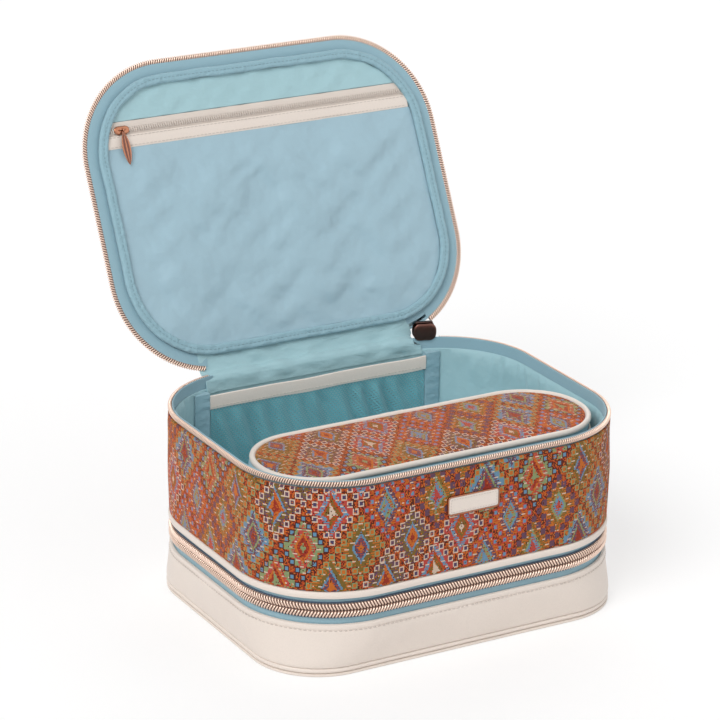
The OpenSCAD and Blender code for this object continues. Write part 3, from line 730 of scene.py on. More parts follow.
class Finish:
    """Material under construction: a Principled shader and the nodes that feed it."""

    def __init__(self, name, roughness=0.6, **settings):
        self.material = bpy.data.materials.new(name)
        self.material.use_nodes = True
        self.tree = self.material.node_tree
        self.shader = self.tree.nodes["Principled BSDF"]
        self.set(Roughness=roughness, **settings)

    def set(self, **settings):
        """Sets inputs of the shader, named with low lines for their spaces."""
        for key, value in settings.items():
            self.shader.inputs[key.replace("_", " ")].default_value = value

    def node(self, kind, inputs=(), **settings):
        """New node with settings, its inputs set or linked."""
        node = self.tree.nodes.new(kind)
        for key, value in settings.items():
            setattr(node, key, value)
        for key, value in dict(inputs).items():
            self.feed(node.inputs[key], value)
        return node

    def feed(self, socket, value):
        if isinstance(value, Number):
            value = value.socket
        if isinstance(value, bpy.types.NodeSocket):
            self.tree.links.new(value, socket)
        else:
            socket.default_value = value

    def calc(self, operation, *values):
        node = self.node("ShaderNodeMath", operation=operation)
        for socket, value in zip(node.inputs, values):
            self.feed(socket, value)
        return Number(self, node.outputs[0])

    def cut(self):
        """Millimetres along and across the cloth or leather as it was cut."""
        parts = self.node(
            "ShaderNodeSeparateXYZ", {0: self.node("ShaderNodeUVMap", uv_map="Cut").outputs[0]},
        )
        return Number(self, parts.outputs[0]), Number(self, parts.outputs[1])

    def solid_place(self, scale):
        """Place in the object's own space, scaled."""
        where = self.node("ShaderNodeTexCoord").outputs["Object"]
        return self.node("ShaderNodeVectorMath", {0: where, 3: scale}, operation="SCALE").outputs[0]

    def vector(self, x, y, z=0.0):
        return self.node("ShaderNodeCombineXYZ", {0: x, 1: y, 2: z}).outputs[0]

    def noise(self, vector, scale=1.0, detail=2.0, roughness=0.5):
        node = self.node(
            "ShaderNodeTexNoise",
            {"Vector": vector, "Scale": scale, "Detail": detail, "Roughness": roughness},
        )
        return Number(self, node.outputs[0])

    def chance(self, x, y):
        """Random number of a place, the same over the whole of it."""
        node = self.node("ShaderNodeTexWhiteNoise", {"Vector": self.vector(x, y)}, noise_dimensions="2D")
        return Number(self, node.outputs["Value"])

    def mix(self, share, a, b):
        node = self.node("ShaderNodeMix", data_type="RGBA")
        self.feed(node.inputs[0], share)
        self.feed(node.inputs[6], a)
        self.feed(node.inputs[7], b)
        return node.outputs[2]

    def ramp(self, value, stops, interpolation="LINEAR"):
        node = self.node("ShaderNodeValToRGB", {0: value})
        node.color_ramp.interpolation = interpolation
        elements = node.color_ramp.elements
        while len(elements) < len(stops):
            elements.new(0.5)
        for element, (place, colour) in zip(elements, stops):
            element.position, element.color = place, colour
        return node.outputs[0]

    def pick(self, index, chosen):
        """One of several colours by a whole number."""
        n = len(chosen)
        return self.ramp((index + 0.5) / n, [(i / n, c) for i, c in enumerate(chosen)], "CONSTANT")

    def colour(self, socket):
        self.feed(self.shader.inputs["Base Color"], socket)

    def relief(self, height, depth, strength=1.0, folds=None):
        """Fine relief, over folds given as a height and their depth in millimetres."""
        bump = self.node(
            "ShaderNodeBump", {"Height": height, "Distance": depth * MM, "Strength": strength},
        )
        if folds:
            under = self.node("ShaderNodeBump", {"Height": folds[0], "Distance": folds[1] * MM})
            self.feed(bump.inputs["Normal"], under.outputs[0])
        self.feed(self.shader.inputs["Normal"], bump.outputs[0])

    def rough(self, value):
        self.feed(self.shader.inputs["Roughness"], value)


def shade(colour, factor):
    return tuple(c * factor for c in colour[:3]) + (1.0,)


FINISHES = {}


def finish(name):
    """The named material, made once."""
    if name not in FINISHES:
        FINISHES[name] = MAKERS[name]().material
    return FINISHES[name]


def leather():
    """Smooth coated leather with a fine pebble grain."""
    f = Finish("cream_leather", 0.46, Specular_IOR_Level=0.42, Coat_Weight=0.06, Coat_Roughness=0.35)
    base = tuple(colours().leather)
    where = f.solid_place(1000.0)
    broad = f.noise(where, 0.03, 3.0)
    grain = f.node("ShaderNodeTexVoronoi", {"Vector": where, "Scale": 1.15}, feature="SMOOTH_F1")
    fine = f.noise(where, 2.6, 3.0)
    tint = f.mix(broad, shade(base, 0.955), shade(base, 1.03))
    pits = Number(f, grain.outputs["Distance"])
    f.colour(f.mix((pits * 0.5).low(0.35), tint, shade(base, 0.88)))
    f.relief(pits * 0.7 + fine * 0.3, 0.12, 0.55)
    f.rough(fine * 0.14 + 0.40)
    return f


def woven(name, base, yarn, roughness, sheen, depth, dark, worn, crease):
    """Plain weave of fine yarn along and across the cut, over soft creases of a scale and depth."""
    f = Finish(name, roughness, Sheen_Weight=sheen, Sheen_Roughness=0.4, Specular_IOR_Level=0.3)
    u, v = f.cut()
    warp = (u * (math.pi / yarn)).sin()
    weft = (v * (math.pi / yarn)).sin()
    height = abs(warp * weft)
    broad = f.noise(f.vector(u, v), 0.035, 4.0)
    slub = f.noise(f.vector(u * 0.12, v * 2.0), 1.0, 2.0)
    tone = f.mix(broad, shade(base, 1.0 - worn), shade(base, 1.0 + worn))
    # Lighter on the crowns of the yarn as a painted highlight, over random tone and darker slubs
    f.colour(f.mix(height * 0.5, f.mix(slub * 0.4, tone, shade(base, dark)), shade(base, 1.04)))
    f.relief(height + slub * 0.5, depth, 0.5, (f.noise(f.vector(u, v), crease[0], 3.0), crease[1]))
    return f


def satin():
    """Light satin of the lid pocket."""
    base = tuple(colours().pocket)
    f = woven("pocket_cloth", base, 0.36, 0.46, 0.35, 0.04, 0.94, 0.03, (0.028, 5.0))
    f.set(Specular_IOR_Level=0.5, Anisotropic=0.3)
    return f


def lining_cloth():
    """Aqua cloth of the linings."""
    return woven("blue_lining", tuple(colours().lining), 0.4, 0.6, 0.3, 0.05, 0.93, 0.04, (0.045, 2.4))


def binding_cloth():
    """Blue cloth of the bindings and hinges."""
    return woven("blue_binding", tuple(colours().binding), 0.45, 0.6, 0.35, 0.06, 0.92, 0.05, (0.2, 1.6))


def zip_tape(name, base):
    """Ribbed tape, lighter on the crests of its ribs and darker between them as painted shade, over a
    broad random tone.
    """
    f = Finish(name, 0.8, Sheen_Weight=0.3, Specular_IOR_Level=0.25)
    u, v = f.cut()
    rib = abs((v * (math.pi / 0.55)).sin())
    step = abs((u * (math.pi / 0.5) + v * 2.0).sin())
    broad = f.noise(f.vector(u, v), 0.05, 3.0)
    f.colour(f.mix(rib * 0.7, f.mix(broad, shade(base, 0.8), shade(base, 0.92)), shade(base, 1.05)))
    f.relief(rib + step * 0.4, 0.1, 0.6)
    return f


def net_thread():
    """Knitted thread of the net."""
    f = Finish("teal_mesh", 0.7, Sheen_Weight=0.4, Specular_IOR_Level=0.3)
    base = tuple(colours().net)
    u, v = f.cut()
    broad = f.noise(f.vector(u, v), 0.06, 3.0)
    knit = abs((u * 4.3 + v * 2.1).sin())
    f.colour(f.mix(broad, shade(base, 0.78), shade(base, 1.22)))
    f.relief(knit, 0.08, 0.6)
    return f


def coil_finish():
    """Rose-gold coated coil with a random speckle; the dark between its loops is painted shade, from the
    dark cord behind them.
    """
    f = Finish("rose_teeth", 0.28, Metallic=0.6, Specular_IOR_Level=0.7, Coat_Weight=0.3)
    base = tuple(colours().coil)
    where = f.solid_place(1000.0)
    speck = f.noise(where, 1.4, 2.0)
    broad = f.noise(where, 0.05, 2.0)
    f.colour(f.mix(broad, f.mix(speck, shade(base, 0.84), shade(base, 1.1)), shade(base, 1.0)))
    f.rough(speck * 0.2 + 0.22)
    return f


def painted_shade_cord():
    """Dark cord under the coil, as painted shade between the loops."""
    f = Finish("painted_shade_cord", 0.85)
    where = f.solid_place(1000.0)
    speck = f.noise(where, 2.2, 2.0)
    f.colour(f.mix(speck, srgb(104, 80, 72), srgb(140, 112, 102)))
    f.relief(speck, 0.15, 0.6)
    return f


def metal(name, base, roughness=0.2):
    """Plated metal with fine wear and a broad change of polish."""
    f = Finish(name, roughness, Metallic=1.0)
    where = f.solid_place(1000.0)
    broad = f.noise(where, 0.25, 4.0)
    drawn = f.node("ShaderNodeVectorMath", {0: where, 1: (1.0, 6.0, 1.0)}, operation="MULTIPLY")
    scratch = f.noise(drawn.outputs[0], 1.2, 5.0, 0.7)
    f.colour(f.mix(broad, shade(base, 0.86), shade(base, 1.06)))
    f.rough(scratch * 0.22 + (roughness - 0.08))
    f.relief(scratch, 0.02, 0.4)
    return f


def thread(name, base):
    """Twisted sewing thread."""
    f = Finish(name, 0.6, Sheen_Weight=0.2)
    where = f.solid_place(1000.0)
    twist = f.noise(where, 3.0, 2.0)
    f.colour(f.mix(twist, shade(base, 0.85), shade(base, 1.08)))
    f.relief(twist, 0.1, 0.5)
    return f


def board():
    """Pressed board of mixed fibres."""
    f = Finish("grey_board", 0.9)
    where = f.solid_place(1000.0)
    fibre = f.noise(where, 0.8, 5.0, 0.7)
    f.colour(f.mix(fibre, srgb(120, 116, 112), srgb(168, 162, 156)))
    f.relief(fibre, 0.2, 0.6)
    return f


# Wool colours of the tapestry
RUST = srgb(190, 72, 30)
MAROON = srgb(70, 26, 20)
RED = srgb(150, 40, 30)
ORANGE = srgb(204, 110, 38)
SKY = srgb(92, 150, 182)
NAVY = srgb(62, 62, 100)
PLUM = srgb(88, 68, 94)
OLIVE = srgb(118, 100, 42)
SAGE = srgb(134, 158, 112)
CREAM = srgb(222, 202, 182)
CORAL = srgb(190, 70, 66)

# Seven diamonds, each as: edge and middle of its squares, field and its second thread, core, line,
# heart, centre
DIAMONDS = [
    (CREAM, NAVY, CORAL, CORAL, SKY, RUST, OLIVE, CREAM),
    (CORAL, SKY, ORANGE, RUST, PLUM, SKY, SAGE, SKY),
    (PLUM, PLUM, ORANGE, OLIVE, OLIVE, SAGE, SKY, CORAL),
    (SAGE, ORANGE, SKY, SKY, PLUM, SAGE, PLUM, RED),
    (MAROON, SKY, SAGE, SAGE, CORAL, ORANGE, RED, SAGE),
    (SAGE, ORANGE, OLIVE, ORANGE, OLIVE, SKY, PLUM, ORANGE),
    (CREAM, PLUM, PLUM, OLIVE, OLIVE, SKY, ORANGE, RED),
]

STITCH_TALL = 1.157  # height of a stitch over its width
SQUARE_W, SQUARE_H = 5, 6  # stitches from square to square
ROUND = 10  # squares from one diamond to the next
DIAMOND_AT = (-8.0, 29.5)  # a diamond's middle on the front, in millimetres of the cut
INNER_W, INNER_H = 12.5, 19.5  # half sizes of the inner diamond in stitches


def tapestry():
    """Kilim diamonds in a half-offset lattice, worked in stitches over a flecked rust ground."""
    f = Finish("tapestry", 0.8, Sheen_Weight=0.6, Sheen_Roughness=0.5, Specular_IOR_Level=0.2)
    f.set(Sheen_Tint=srgb(238, 150, 104))
    u, v = f.cut()
    knot = sizes().knot / MM
    x = (u - DIAMOND_AT[0]) / knot + SQUARE_W / 2
    y = (v - DIAMOND_AT[1]) / (knot * STITCH_TALL) + SQUARE_H / 2
    sx, sy = x.floor(), y.floor()
    bx, by = (sx / SQUARE_W).floor(), (sy / SQUARE_H).floor()
    fx, fy = sx - bx * SQUARE_W, sy - by * SQUARE_H

    # Two sets of diamonds: middles on the lattice, and middles half a step across and up
    i, j = (bx / ROUND).round(), (by / ROUND).round()
    step = abs(bx - i * ROUND) + abs(by - j * ROUND)
    other = step > ROUND / 2
    ring = step.low(ROUND - step)
    wide, tall = ROUND * SQUARE_W, ROUND * SQUARE_H
    px = abs(sx - i * wide - (SQUARE_W - 1) / 2)
    py = abs(sy - j * tall - (SQUARE_H - 1) / 2)
    px = px + (wide / 2 - px * 2) * other
    py = py + (tall / 2 - py * 2) * other
    inner = px / INNER_W + py / INNER_H
    kind = (i + j * 2).mod(len(DIAMONDS))
    kind_2 = ((bx / ROUND).floor() + (by / ROUND).floor() * 2 + 3).mod(len(DIAMONDS))
    kind = kind + (kind_2 - kind) * other
    edge, middle, field, second, core, line, heart, centre = (
        f.pick(kind, [d[n] for d in DIAMONDS]) for n in range(8)
    )

    luck, luck_2 = f.chance(sx, sy), f.chance(sx + 57.0, sy + 17.0)
    weft = sy.mod(2.0)
    ground = f.mix(luck > 0.42, MAROON, f.mix(luck_2 > 0.3, ORANGE, RUST))
    body = f.mix(weft * (luck > 0.25), field, second)
    body = f.mix(inner < 1.0, body, f.mix(weft * (luck > 0.45), core, field))
    row = (sy / 5).floor()
    dash = (abs(sy - row * 5 - 2) < 0.5) * ((sx + row * 3).mod(8) < 3.5)
    body = f.mix(dash * (inner > 0.66) * (inner < 1.3), body, CREAM)
    body = f.mix(inner < 0.66, body, line)
    body = f.mix(inner < 0.5, body, f.mix(weft * (luck > 0.5), heart, RUST))
    body = f.mix(inner < 0.2, body, centre)
    rim = ((fx < 0.5) + (fx > 3.5) + (fy < 0.5) + (fy > 3.5)).low(1.0)
    squares = f.mix(fy > 4.5, f.mix(rim, middle, edge), ground)
    wool = f.mix(ring > 3.5, body, squares)
    wool = f.mix(ring > 4.5, wool, ground)
    wool = f.mix(luck_2 > 0.93, wool, f.mix(luck > 0.5, ORANGE, MAROON))
    height = abs((x * math.pi).sin()) * abs((y * math.pi).sin())
    # Towards MAROON in the gaps between stitches as painted shade, plus a little random tone
    f.colour(f.mix((1.0 - height) * 0.25 + luck * 0.08, wool, MAROON))
    f.relief(height + luck * 0.5, 0.22, 0.7)
    return f


MAKERS = {
    "cream_leather": leather,
    "tapestry": tapestry,
    "blue_lining": lining_cloth,
    "pocket_cloth": satin,
    "blue_binding": binding_cloth,
    "blue_zip_tape": lambda: zip_tape("blue_zip_tape", tuple(colours().tape)),
    "cream_zip_tape": lambda: zip_tape("cream_zip_tape", shade(colours().leather, 0.97)),
    "rose_teeth": coil_finish,
    "cream_coil": lambda: thread("cream_coil", shade(colours().leather, 0.86)),
    "painted_shade_cord": painted_shade_cord,
    "rose_metal": lambda: metal("rose_metal", tuple(colours().metal)),
    "bronze_metal": lambda: metal("bronze_metal", tuple(colours().bronze), 0.28),
    "teal_mesh": net_thread,
    "cream_thread": lambda: thread("cream_thread", shade(colours().leather, 0.8)),
    "blue_thread": lambda: thread("blue_thread", shade(colours().binding, 0.8)),
    "navy_thread": lambda: thread("navy_thread", srgb(58, 78, 104)),
    "grey_board": board,
}


def dress(node, name):
    """Gives a CAD node a finish of its own."""
    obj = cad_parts[node]
    obj.data.materials.clear()
    obj.data.materials.append(finish(name))


# ---- Shared pieces --------------------------------------------------------------------------------


def upright_coil(seam, half, side, proud):
    """Loop of a coil in a wall: from its tape out and slanted in to the seam."""
    return [
        (-0.5, -1.9, seam + side * half),
        (-0.4, -0.5, seam + side * (half - 0.1)),
        (-0.1, proud, seam + side * (half - 1.0)),
        (0.7, proud + 0.1, seam + side * (0.45 * half)),
        (1.25, proud - 0.1, seam + side * 1.0),
        (1.4, -1.0, seam + side * 0.45),
    ]


def zip_row(name, line, run, pitch, seam, side, body, nodes, half, radius, core, shade_cord_out):
    """Coil of a zip in a wall with a dark cord behind it as painted shade between the loops, and the
    sewing thread along it.

    half is the width of the row, core how far its cord reaches from the seam, and shade_cord_out where
    the cord's front and back lie. side is -1 below the seam and 1 above it.
    """
    shape = Shape()
    path = upright_coil(seam, half - radius, side, -radius + 0.45)
    coil(shape, line, *run, pitch, path, radius)
    # The dark cord behind the loops is painted shade between them
    front, back = shade_cord_out
    z0, z1 = sorted((seam + side * 0.25, seam + side * core))
    swept(shape, line, wall_profile(front, back, z0, z1, 0.3, 3), run, 3.0, finish=1)
    sewing = round_profile(0.4, back + 0.2, seam + side * (half + 0.35), 6)
    swept(shape, line, sewing, run, 3.0, finish=2)
    return piece(name, shape, ["rose_teeth", "painted_shade_cord", "navy_thread"], body, nodes, sharp=60)


def back_span(line, left, right):
    """Run from the left end on the back, round the front, to the right end on the back."""
    return (-line.back(left), line.back(right))


# ---- Operators ------------------------------------------------------------------------------------


class Maker(bpy.types.Operator):
    """Shared base of the operators that make pieces"""

    bl_options = {"REGISTER", "UNDO"}

    def execute(self, context):
        self.make()
        return {"FINISHED"}


class TRAINCASE_OT_base_leather(Maker):
    """Makes the leather base: bottom, board, welt and wall with its row of stitches"""

    bl_idname = "traincase.base_leather"
    bl_label = "Leather Base"

    def make(self):
        dress("base_board", "grey_board")
        foot, case = foot_line(), case_line()
        bottom = lens(foot, [(0.8, 0.0), (0.2, 0.4), (0.0, 1.0), (0.2, 1.7), (0.9, 2.0)], level_top(2.0))
        piece("base_bottom_leather", bottom, "cream_leather", "base", ["base_bottom"])
        uneven = Ripple(3, 60, foot.length)
        welt = swept(Shape(), foot, round_profile(1.7, -1.7, 3.9, 16), lift=wobble(uneven, 0.15))
        piece("base_welt_cord", welt, "cream_leather", "base", ["base_welt"])

        soft = Ripple(5, 90, case.length, 0.6)
        crease = Ripple(6, 22, case.length, 1.4)
        outer = [
            (-0.9, 5.8), (-0.3, 6.0), (0.0, 6.6), (0.35, 8.5), (0.5, 12), (0.5, 17), (0.4, 22),
            (0.25, 27),
        ]
        outer += [
            (0.15, 29.6), (0.0, 30.5), (-0.3, 31.0), (0.0, 31.5), (0.2, 32.4), (0.15, 34.0), (-0.1, 34.7),
            (-0.6, 35.0),
        ]
        inner = [(-1.9, 35.0), (-2.4, 34.4), (-2.4, 28), (-2.4, 17), (-2.4, 6.4), (-2.0, 5.8)]
        profile = np.array(outer + inner)

        def lift(s, o, z):
            weight = smooth((z - 6) / 6) * smooth((34.6 - z) / 6)
            return (0.35 * soft(s, z) + 0.1 * crease(s, z)) * weight, 0 * z

        wall = swept(
            Shape(), foot, profile, step=2.0, lift=lift,
            line_to=(case, lambda z: smooth((z - 3.0) / 27)),
        )
        piece("base_wall_leather", wall, "cream_leather", "base", ["base_wall"])
        row = stitches(case, sizes().stitch / MM, 0.12, 31.0, radius=0.4, sink=0.45)
        piece("base_wall_stitches", row, "cream_thread", "base", sharp=60)


class TRAINCASE_OT_base_lining(Maker):
    """Makes the lining of the base compartment and the underside of the divider"""

    bl_idname = "traincase.base_lining"
    bl_label = "Base Lining"

    def make(self):
        foot, case = foot_line(), case_line()
        soft = Ripple(11, 30, case.length, 2.0)
        profile = wall_profile(-LINING_IN - 0.1, -LINING_BACK, 5.0, 34.0, 0.3, 9)

        def lift(s, o, z):
            weight = smooth((z - 5) / 8) * smooth((34 - z) / 6) * (o < -1)
            return -0.5 * (1 + soft(s, z)) * weight, 0 * z

        walls = swept(
            Shape(), foot, profile, step=3.0, lift=lift, line_to=(case, lambda z: smooth((z - 3.0) / 25))
        )
        lens(foot, [(4.6, 4.9), (4.4, 5.2), (4.6, 5.6)], level_top(5.6), shape=walls)
        piece("base_lining_cloth", walls, "blue_lining", "base", ["base_lining"])
        under = lens(case, [(4.2, 52.85), (3.9, 53.2), (4.2, 53.55)], level_top(53.55))
        piece("divider_lining_cloth", under, "blue_lining", "upper_case", ["divider_lining"])
        dress("divider_board", "grey_board")


class TRAINCASE_OT_base_zip(Maker):
    """Makes the zip between the base and the upper case"""

    bl_idname = "traincase.base_zip"
    bl_label = "Base Zip"

    def make(self):
        case = case_line()
        span = back_span(case, HINGE_HALF + 0.4, HINGE_HALF + 0.4)
        for name, body, z0, z1 in (("base", "base", 30.5, 43.75), ("case", "upper_case", 45.05, 58.8)):
            section = wall_profile(-TAPE_IN, -TAPE_BACK, z0, z1, 0.3, 8)
            tape = swept(Shape(), case, section, span, 2.6)
            piece(f"{name}_zip_tape_cloth", tape, "blue_zip_tape", body, [f"{name}_zip_tape"])
        run = back_span(case, HINGE_HALF + 1, HINGE_HALF + 1)
        for name, body, side in (("base", "base", -1), ("case", "upper_case", 1)):
            zip_row(
                f"{name}_zip_coil", case, run, sizes().base_coil / MM, BASE_SEAM, side, body,
                [f"{name}_zip_teeth"], half=4.75, radius=0.58, core=4.4, shade_cord_out=(-0.9, -2.3),
            )


class TRAINCASE_OT_upper_walls(Maker):
    """Makes the tapestry wall, its piping and its stiffening"""

    bl_idname = "traincase.upper_walls"
    bl_label = "Tapestry Wall"

    def make(self):
        case = case_line()
        soft, dents = Ripple(21, 110, case.length, 0.5), Ripple(22, 26, case.length, 1.2)

        def lift(s, o, z):
            weight = smooth((z - 57.6) / 7) * smooth((126.5 - z) / 7)
            return (0.5 * soft(s, z) + 0.14 * dents(s, z)) * weight, 0 * z

        wall = swept(
            Shape(), case, wall_profile(0.0, -WALL_T, 57.6, 126.5, 0.8, 26, 0.5), step=2.0, lift=lift,
        )
        piece("case_wall_tapestry", wall, "tapestry", "upper_case", ["case_wall"])
        dress("wall_stiffener", "grey_board")
        flat = [
            (-2.3, 0.1), (-0.6, 0.05), (0.15, 0.4), (0.5, 1.4), (0.65, 2.5), (0.5, 3.6), (0.15, 4.5),
            (-0.6, 4.95),
        ]
        flat = np.array(flat + [(-2.3, 4.9)]) + (0, PIPING_FOOT)
        uneven = Ripple(23, 50, case.length)
        band = swept(Shape(), case, flat, lift=wobble(uneven, 0.1, 0.12, 30))
        piece("case_piping_leather", band, "cream_leather", "upper_case", ["case_piping"])


class TRAINCASE_OT_upper_lining(Maker):
    """Makes the lining of the upper compartment"""

    bl_idname = "traincase.upper_lining"
    bl_label = "Upper Lining"

    def make(self):
        case = case_line()
        folds = Ripple(31, 34, case.length, 6.0)
        small = Ripple(32, 13, case.length, 3.0)

        def lift(s, o, z):
            weight = smooth((z - 57) / 10) * smooth((122.5 - z) / 12)
            behind_net = 1 - smooth((np.abs(s - case.length / 2) - 104) / 14)
            gathers = 1.1 * (1 + small(s, z)) * smooth((z - 100) / 20) * smooth((123 - z) / 3)
            deep = 0.9 * (1 + folds(s, z)) * weight + 0.25 * (1 + small(s, z)) * weight + gathers
            return -deep * (1 - 0.85 * behind_net), 0 * z

        walls = swept(
            Shape(), case, wall_profile(-LINING_IN, -LINING_BACK, 57.3, 123.15, 0.3, 22), step=2.0,
            lift=lift,
        )
        dip = Ripple(33, 60)

        def top(p, t):
            return 57.15 - 0.25 * (1 + dip(p[:, 0], p[:, 1])) * smooth((1 - t) * 4)

        lens(case, [(4.4, 56.5), (4.1, 56.8), (4.6, 57.15)], top, shape=walls)
        piece("case_lining_cloth", walls, "blue_lining", "upper_case", ["case_lining"])


class TRAINCASE_OT_rim_zip(Maker):
    """Makes the half of the lid's zip that stands on the rim"""

    bl_idname = "traincase.rim_zip"
    bl_label = "Rim Zip"

    def make(self):
        case = case_line()
        sway = Ripple(41, 120, case.length)

        def shift(s, o, z):
            return 0.12 * sway(s, 0 * z) * smooth((z - 122) / 6), 0 * z

        tape = swept(
            Shape(), case, wall_profile(-TAPE_IN, -TAPE_BACK, 121.0, 131.1, 0.35, 7),
            back_span(case, 77.2, 77.6), 2.4, lift=shift,
        )
        piece("rim_zip_tape_cloth", tape, "blue_zip_tape", "upper_case", ["rim_zip_tape"])
        shape = Shape()
        run = back_span(case, *RIM_COIL)
        path = [
            (-0.5, -1.9, 128.0), (-0.4, -0.6, 128.1), (-0.1, -0.25, 128.7), (0.4, -0.2, 129.9),
            (0.7, -0.4, 130.6), (0.9, -1.2, 130.95), (0.9, -2.1, 130.7),
        ]
        coil(shape, case, *run, sizes().rim_coil / MM, path, 0.45)
        # Dark cord behind the loops, as painted shade between them
        swept(shape, case, wall_profile(-1.0, -2.4, 127.8, 130.6, 0.4, 3), run, 3.0, finish=1)
        piece(
            "rim_zip_coil", shape, ["rose_teeth", "painted_shade_cord"], "upper_case", ["rim_zip_teeth"], sharp=60,
        )


class TRAINCASE_OT_back_hinges(Maker):
    """Makes the two cloth hinges at the back, each drawn across its joint in one shape"""

    bl_idname = "traincase.back_hinges"
    bl_label = "Cloth Hinges"

    def make(self):
        case = case_line()
        start, end = case.back(HINGE_HALF - 0.1), case.length - case.back(HINGE_HALF - 0.1)
        soft = Ripple(51, 25, case.length, 1.0)

        def sink(s, o, z):
            weight = (o > -2) * smooth((z - 35) / 4) * smooth((54 - z) / 4)
            return -0.25 * (1 + soft(s, z)) * weight, 0 * z

        low = swept(
            Shape(), case, wall_profile(-0.5, -3.4, 35.3, 53.6, 0.6, 16), (start, end), 2.4, lift=sink
        )
        lap = wall_profile(-TAPE_IN, -TAPE_BACK, 30.6, 58.7, 0.3, 20)
        swept(low, case, lap, (start, end), 2.4)
        hinge = piece(
            "base_hinge_cloth", low, "blue_binding", None, ["base_hinge_leaf", "case_hinge_leaf"],
        )
        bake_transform(hinge)

        # Strip from the inside of the rim, out over the axis and onto the lid
        on_lid = opened_lid([(0, 105.0, 132.9), (0, 100.0, 132.9), (0, 95.6, 132.9)])
        y = [100.9, 100.9, 101.2, 102.8, 105.0, 107.2, 108.1] + list(on_lid[:, 1])
        z = [119.5, 124.0, 127.8, 130.2, 131.0, 131.15, 131.9] + list(on_lid[:, 2])
        path = np.stack([y, z], -1)
        fine = resample(path, 40)
        share = np.linspace(0, 1, 64)[:, None]
        lean = smooth((fine[:, 1] - 130.5) / 4)
        # The right edge stays beside the rim's slider, and is wider below and above it
        level = fine[None, :, 1]
        right = 77.4 + 5.2 * smooth((127.4 - level) / 1.5) + 2.1 * smooth((level - 131) / 1)
        right = right + 5.2 * smooth((level - 136.9) / 1.2)
        left = -82.8
        x = left + (right - left) * share
        over = np.clip(np.abs(x) - case.a, 0, None)
        sag = case.radius - np.sqrt(case.radius**2 - over**2)
        keep = 1 - np.exp(-((fine[:, 0] - 107.4) ** 2 + (fine[:, 1] - 131.5) ** 2) / 18)
        heading = np.gradient(fine, axis=0)
        heading /= np.linalg.norm(heading, axis=1)[:, None]
        side = np.stack([-heading[:, 1], heading[:, 0]], -1)
        pucker = Ripple(52, 34, 400, 0.6)
        angle = sizes().lid_angle
        strip = Shape()
        faces = []
        for offset in (0.42, -0.42):
            grid = np.empty((len(x), len(fine), 3))
            grid[..., 0] = x
            bumpy = 1.1 * pucker(x, level) * smooth((level - 121) / 4)
            yy = fine[None, :, 0] + side[None, :, 0] * (offset + bumpy)
            zz = fine[None, :, 1] + side[None, :, 1] * (offset + bumpy)
            # At the corners the strip follows the round outline, on the rim and on the lid
            shrink = sag * keep[None, :]
            grid[..., 1] = yy - shrink * (1 - lean) + shrink * lean * -math.cos(angle)
            grid[..., 2] = zz + shrink * lean * math.sin(angle)
            faces.append(grid)
        ring = np.concatenate([faces[0], faces[1][:, ::-1]], 1)
        v = np.arange(ring.shape[1] + 1) * 1.1
        strip.grid(ring, cut_grid(share[:, 0] * 160, v), wrap_cols=True)
        strip.cap(ring[0][::-1])
        strip.cap(ring[-1])
        hinge = piece("lid_hinge_cloth", strip, "blue_lining", None, ["rim_hinge_leaf", "lid_hinge_leaf"])
        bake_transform(hinge)


def resample(path, n):
    """Points at even steps along a path that is first rounded."""
    path = np.asarray(path, float)
    run = np.concatenate([[0], np.cumsum(np.linalg.norm(np.diff(path, axis=0), axis=1))])
    dense = np.linspace(0, run[-1], 400)
    points = np.stack([np.interp(dense, run, path[:, k]) for k in range(path.shape[1])], -1)
    kernel = np.hanning(23)
    kernel /= kernel.sum()
    padded = np.concatenate([np.repeat(points[:1], 11, 0), points, np.repeat(points[-1:], 11, 0)])
    rounded = np.stack([np.convolve(padded[:, k], kernel, "valid") for k in range(path.shape[1])], -1)
    return rounded[np.round(np.linspace(0, 399, n)).astype(int)]


